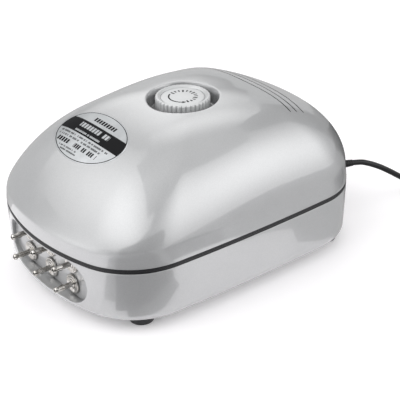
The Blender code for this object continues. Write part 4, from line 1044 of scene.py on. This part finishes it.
def arc_patch(inner, outer, start, stop, low, high, steps):
    """A flat piece of a ring, from start to stop in degrees. Its radii may be pairs, for a tapered one."""
    (in_a, in_b), (out_a, out_b) = (v if isinstance(v, tuple) else (v, v) for v in (inner, outer))
    rows = []
    for share in np.linspace(0, 1, steps):
        angle = math.radians(start + (stop - start) * share)
        across = [(in_a + (in_b - in_a) * share, low), (out_a + (out_b - out_a) * share, low)]
        across += [(across[1][0], high), (across[0][0], high)]
        rows.append([(r * math.cos(angle), KNOB_Y + r * math.sin(angle), z) for r, z in across])
    return stack(rows, caps=True)


TICKS, FIRST_TICK, TICK_STEP, TICK_RADIUS = 13, 194, 17.4, 11.2
PRINT_SUNK, PRINT_RAISED = 0.04, 0.06


def make_knob_print():
    """Printed scale on the knob: an arrow that shows which way to turn it, and a ring of ticks."""
    low, high = DISC_TOP_Z - PRINT_SUNK, DISC_TOP_Z + PRINT_RAISED
    shaft = arc_patch(9.8, 10.9, 208, 322, low, high, 40)
    head = arc_patch((8.6, 10.2), (12.0, 10.4), 322, 337, low, high, 12)
    marks = [shaft, head]
    for number in range(TICKS):
        angle = FIRST_TICK - number * TICK_STEP
        length, width = (3.4, 7.5) if number % 3 == 0 else (2.6, 6.0)
        start, stop = angle - width / 2, angle + width / 2
        marks.append(arc_patch(TICK_RADIUS - length, TICK_RADIUS, start, stop, low, high, 4))
    piece("knob_scale_print", joined(marks), "ink", "knob")


make_knob()
make_knob_cap()
make_knob_print()

# ------------------------------ outlets

# Profiles of one outlet, as (radius, distance from the pocket's floor).
OUTLET_BORE = 1.2
BARB_TIP = [(OUTLET_BORE, 15.75), (1.45, 16.05), (1.75, 15.95), (2.15, 15.3), (2.4, 14.6), (2.42, 14.3)]
BARB_NECK = [(2.25, 14.05), (1.75, 13.75), (1.75, 13.0), (1.85, 12.4), (2.4, 9.3), (2.45, 8.95), (2.3, 8.65)]
BARB_STEM = [(1.95, 8.4), (1.95, 2.7), (2.2, 2.2), (2.9, 1.9), (2.9, -7.8), (2.7, -8), (OUTLET_BORE, -8)]
COLLAR_RIM = [(3.0, 0.3), (7.1, 0.3), (7.35, 0.5), (7.4, 0.9), (7.3, 1.55), (6.95, 1.9), (6.5, 1.95)]
COLLAR_DISH = [(6.0, 1.75), (4.9, 1.1), (4.0, 0.95), (3.3, 1.15), (3.0, 1.5)]


def make_outlets():
    front = (0, -1, 0)
    for number, spot in enumerate(OUTLET_SPOTS, start=1):
        nozzle = lathe(BARB_TIP + BARB_NECK + BARB_STEM, 40, front, spot, closed=True)
        piece(f"nozzle_{number}", nozzle, "nickel", stands_for=(f"outlet_nozzle_{number}",))
        collar = lathe(COLLAR_RIM + COLLAR_DISH, 56, front, spot, closed=True)
        piece(f"nozzle_collar_{number}", collar, "nickel")


make_outlets()

# ------------------------------ feet, boot and label


def make_feet():
    top, screw = FOOT_HEIGHT - 0.1, SCREW_RADIUS
    profile = [(screw, top), (9.9, top), (10.2, top - 0.3), (10.05, 6.5), (9.0, 1.0), (8.7, 0.35), (8.2, 0)]
    profile += [(7.4, 0), (7.2, 0.25), (6.6, 0.25), (6.4, 0), (5.6, 0), (5.2, 0.4), (5.2, 3.7), (5.0, 4.0)]
    profile.append((screw, 4.0))
    names = ("foot_rear_right", "foot_rear_left", "foot_front_left", "foot_front_right")
    for name, spot in zip(names, FOOT_SPOTS):
        pad = lathe(profile, 64, foot=spot, closed=True)
        piece(f"{name}_pad", pad, "black_rubber", stands_for=(name,))


BOOT_RINGS, BOOT_TAPER = 6, 0.14


def make_boot():
    """Strain relief: a small flange on the wall, then shallow rings on a sleeve that tapers to the cord."""
    place, outward = wall_frame()
    bore, tip, inside = CORD_RADIUS + 0.12, BOOT_REACH, -WALL
    profile = [(bore, tip - 0.2), (bore + 0.1, tip), (2.5, tip), (2.6, tip - 0.2)]
    for ring in range(BOOT_RINGS):
        outer, end = 2.62 + ring * BOOT_TAPER, tip - 0.3 - ring * RING_PITCH
        profile += [(outer, end - 0.1), (outer + 0.08, end - 1.3)]
        profile += [(outer - 0.14, end - 1.45), (outer - 0.1, end - 1.8)]
    profile += [(3.5, 2.4), (4.6, 1.9), (5.4, 1.75), (5.6, 1.5), (5.6, 0.4), (5.4, 0.1), (4.4, 0.1)]
    profile += [(4.4, inside - 1.2), (6.4, inside - 1.2), (6.6, inside - 1.6), (6.2, inside - 5)]
    profile += [(4.4, inside - 7), (bore, inside - 7)]
    sleeve = lathe(profile, 48, outward, place, closed=True)
    piece("cord_boot_sleeve", sleeve, "cord_rubber", stands_for=("cord_boot",))


FILM_TOP, FILM_UNDERSIDE = 0.22, 0.02  # above the dome


def make_label():
    """Oval film that lies on the front slope."""
    count, rings = 120, 22
    angles = np.arange(count) * TAU / count
    rows = []
    top, under = (FILM_TOP, np.linspace(0, 0.995, rings)), (FILM_UNDERSIDE, np.linspace(1, 0, rings))
    for lift, shares in (top, under):
        for share in shares:
            x = LABEL_X + share * LABEL_HALF_LENGTH * np.cos(angles)
            y = LABEL_Y + share * LABEL_HALF_WIDTH * np.sin(angles)
            rows.append(np.stack([x, y, dome_height(x, y) + lift], 1))
    piece("label_oval", stack(rows), "label_film", stands_for=("rating_label",))


make_feet()
make_boot()
make_label()

# ------------------------------ carried-over pieces

INSIDE_FINISHES = {
    "silver_paint": "filter_cover",
    "black_rubber": "chassis_buffer_ inner_lead",
    "diaphragm_rubber": "diaphragm_ valve_sheet_",
    "steel": "knob_spindle potentiometer case_screw_ core_bolt_ chassis_plate pivot_bracket clamp_ring_",
    "laminations": "magnet_core",
    "copper_winding": "coil_winding",
    "white_plastic": "coil_bobbin outlet_manifold swing_arm_ pump_head_ head_cover_ terminal_block",
    "board_green": "control_board",
    "magnet": "arm_magnet_",
    "hose_silicone": "air_hose_",
    "felt": "filter_felt",
    "wire_blue": "coil_lead",
}


def finish_carried_over():
    """Gives its procedural material to every CAD piece that stays in view as it is."""
    for finish, starts in INSIDE_FINISHES.items():
        for name, node in NODES.items():
            if name.startswith(tuple(starts.split())):
                for material_slot in node.material_slots:
                    material_slot.link = "OBJECT"
                    material_slot.material = LOOKS[finish]


finish_carried_over()

# ------------------------------ stage

SQUARE = ((-1, -1), (1, -1), (1, 1), (-1, 1))
FLOOR_REACH = 9  # metres


def flat_object(name, points, look, faces=((0, 1, 2, 3),)):
    """A flat mesh of the stage, in metres."""
    mesh = bpy.data.meshes.new(name)
    mesh.from_pydata(points, [], faces)
    mesh.materials.append(look)
    return link(bpy.data.objects.new(name, mesh))


def make_floor():
    corners = [(x * FLOOR_REACH, y * FLOOR_REACH, 0) for x, y in SQUARE]
    glow = {"emission_color": (1, 1, 1, 1), "emission_strength": 0.16}
    look = new_material("floor_white", (0.92, 0.905, 0.92), 0.7, **glow)
    flat_object("floor", corners, look)


def panel_look(name, strength, fade=(1, 1, 1, 1), half_size=(1, 1)):
    """Light that is full at the panel's middle. Fade is how dim it is at the left, right, bottom and top."""
    made = bpy.data.materials.new(name)
    made.use_nodes = True
    nodes = Nodes(made)
    nodes.tree.nodes.remove(nodes.shader)
    apart = nodes.new("ShaderNodeSeparateXYZ", {"Vector": nodes.place})
    ramps = []
    for axis, half, dims in (("X", half_size[0], fade[:2]), ("Y", half_size[1], fade[2:])):
        for edge, dim in zip((-half, half), dims):
            inputs = {"Value": apart.outputs[axis], "From Min": edge, "From Max": 0.0}
            inputs |= {"To Min": dim, "To Max": 1.0}
            ramp = nodes.new("ShaderNodeMapRange", inputs, interpolation_type="SMOOTHSTEP")
            ramps.append(ramp.outputs["Result"])
    glow = nodes.new("ShaderNodeEmission", {"Strength": nodes.times(*ramps, strength)})
    nodes.tree.links.new(glow.outputs["Emission"], nodes.tree.nodes["Material Output"].inputs["Surface"])
    return made


PANEL_DISTANCE = 3.0  # metres
CARD_LIFT = 0.0006  # metres, above the floor

# Azimuths run from behind the pump (0) to its right (90). Soft boxes: azimuth, elevation, width and
# height in degrees, strength, and how dim each edge is: left, right, bottom and top.
SOFT_BOXES = {
    "front_box": (195, 55, 98, 56, 2.45, (0.5, 0.75, 0.4, 0.55)),
    "front_low_box": (200, 18, 72, 30, 1.7, (0.3, 0.5, 0.9, 0.8)),
    "right_box": (54, 34, 88, 80, 2.25, (0.3, 0.4, 0.5, 0.3)),
    "left_box": (-62, 33, 38, 44, 1.7, (0.5, 0.5, 0.3, 0.6)),
    "left_high_box": (-50, 50, 34, 28, 1.8, (0.7, 0.7, 0.5, 0.5)),
    "top_box": (0, 88, 60, 60, 0.9, (0.7, 0.7, 0.7, 0.7)),
}
# Dark cards, which only show in reflections: azimuth, elevation, width, height and strength.
DARK_CARDS = {"dark_card_right": (120, 8, 60, 50, 0.03), "dark_card_rear": (-18, 26, 26, 66, 0.25)}
# Dark cards on the floor: from azimuth to azimuth, from reach to reach in metres, and strength.
FLOOR_CARDS = {
    "right": (78, 100, 0.21, 1.4, 0.05),
    "corner_right": (100, 108, 0.17, 1.4, 0.4),
    "corner": (108, 150, 0.155, 1.4, 0.05),
    "corner_left": (150, 157, 0.165, 1.4, 0.4),
    "corner_foot": (110, 144, 0.138, 0.155, 0.3),
    "rear_left": (-29, -20, 0.145, 4.0, 0.28),
    "rear": (-20, 2, 0.145, 4.0, 0.05),
    "far_rear": (2, 20, 0.135, 4.0, 0.28),
    "far_right": (20, 44, 0.118, 1.4, 0.48),
    "side_rear": (44, 61, 0.135, 1.4, 0.52),
    "side": (61, 78, 0.155, 1.4, 0.52),
    "left": (-130, -29, 0.15, 4.0, 0.52),
}


def make_panel(name, azimuth, elevation, width, height, strength, fade=(1, 1, 1, 1), lights=True):
    """A soft box, or a dark card, facing the pump. Its place and size are in degrees."""
    around, above = math.radians(azimuth), math.radians(elevation)
    level = math.cos(above)
    away = Vector((math.sin(around) * level, math.cos(around) * level, math.sin(above)))
    half = [PANEL_DISTANCE * math.tan(math.radians(size / 2)) for size in (width, height)]
    corners = [(x * half[0], y * half[1], 0) for x, y in SQUARE]
    panel = flat_object(name, corners, panel_look(name, strength, fade, half))
    panel.location = away * PANEL_DISTANCE
    panel.rotation_mode = "QUATERNION"
    panel.rotation_quaternion = away.to_track_quat("Z", "Y")
    panel.visible_camera = False
    panel.visible_shadow = False
    panel.visible_diffuse = lights


def make_floor_card(name, start, stop, near, far, strength):
    """A dark card flat on the floor, a piece of a ring round the pump."""
    points = []
    for azimuth in np.linspace(math.radians(start), math.radians(stop), 13):
        points += [(reach * math.sin(azimuth), reach * math.cos(azimuth), CARD_LIFT) for reach in (near, far)]
    faces = [(i, i + 1, i + 3, i + 2) for i in range(0, len(points) - 2, 2)]
    card = flat_object(name, points, panel_look(name, strength), faces)
    card.visible_camera = card.visible_shadow = card.visible_diffuse = False


def make_studio():
    for name, numbers in SOFT_BOXES.items():
        make_panel(name, *numbers)
    for name, numbers in DARK_CARDS.items():
        make_panel(name, *numbers, lights=False)
    for name, numbers in FLOOR_CARDS.items():
        make_floor_card(f"floor_card_{name}", *numbers)
    world = bpy.data.worlds.new("studio")
    world.use_nodes = True
    background = world.node_tree.nodes["Background"]
    background.inputs["Color"].default_value = (0.985, 0.99, 1.0, 1)
    background.inputs["Strength"].default_value = 0.55
    bpy.context.scene.world = world
    bpy.context.scene.view_settings.view_transform = "Standard"


make_floor()
make_studio()
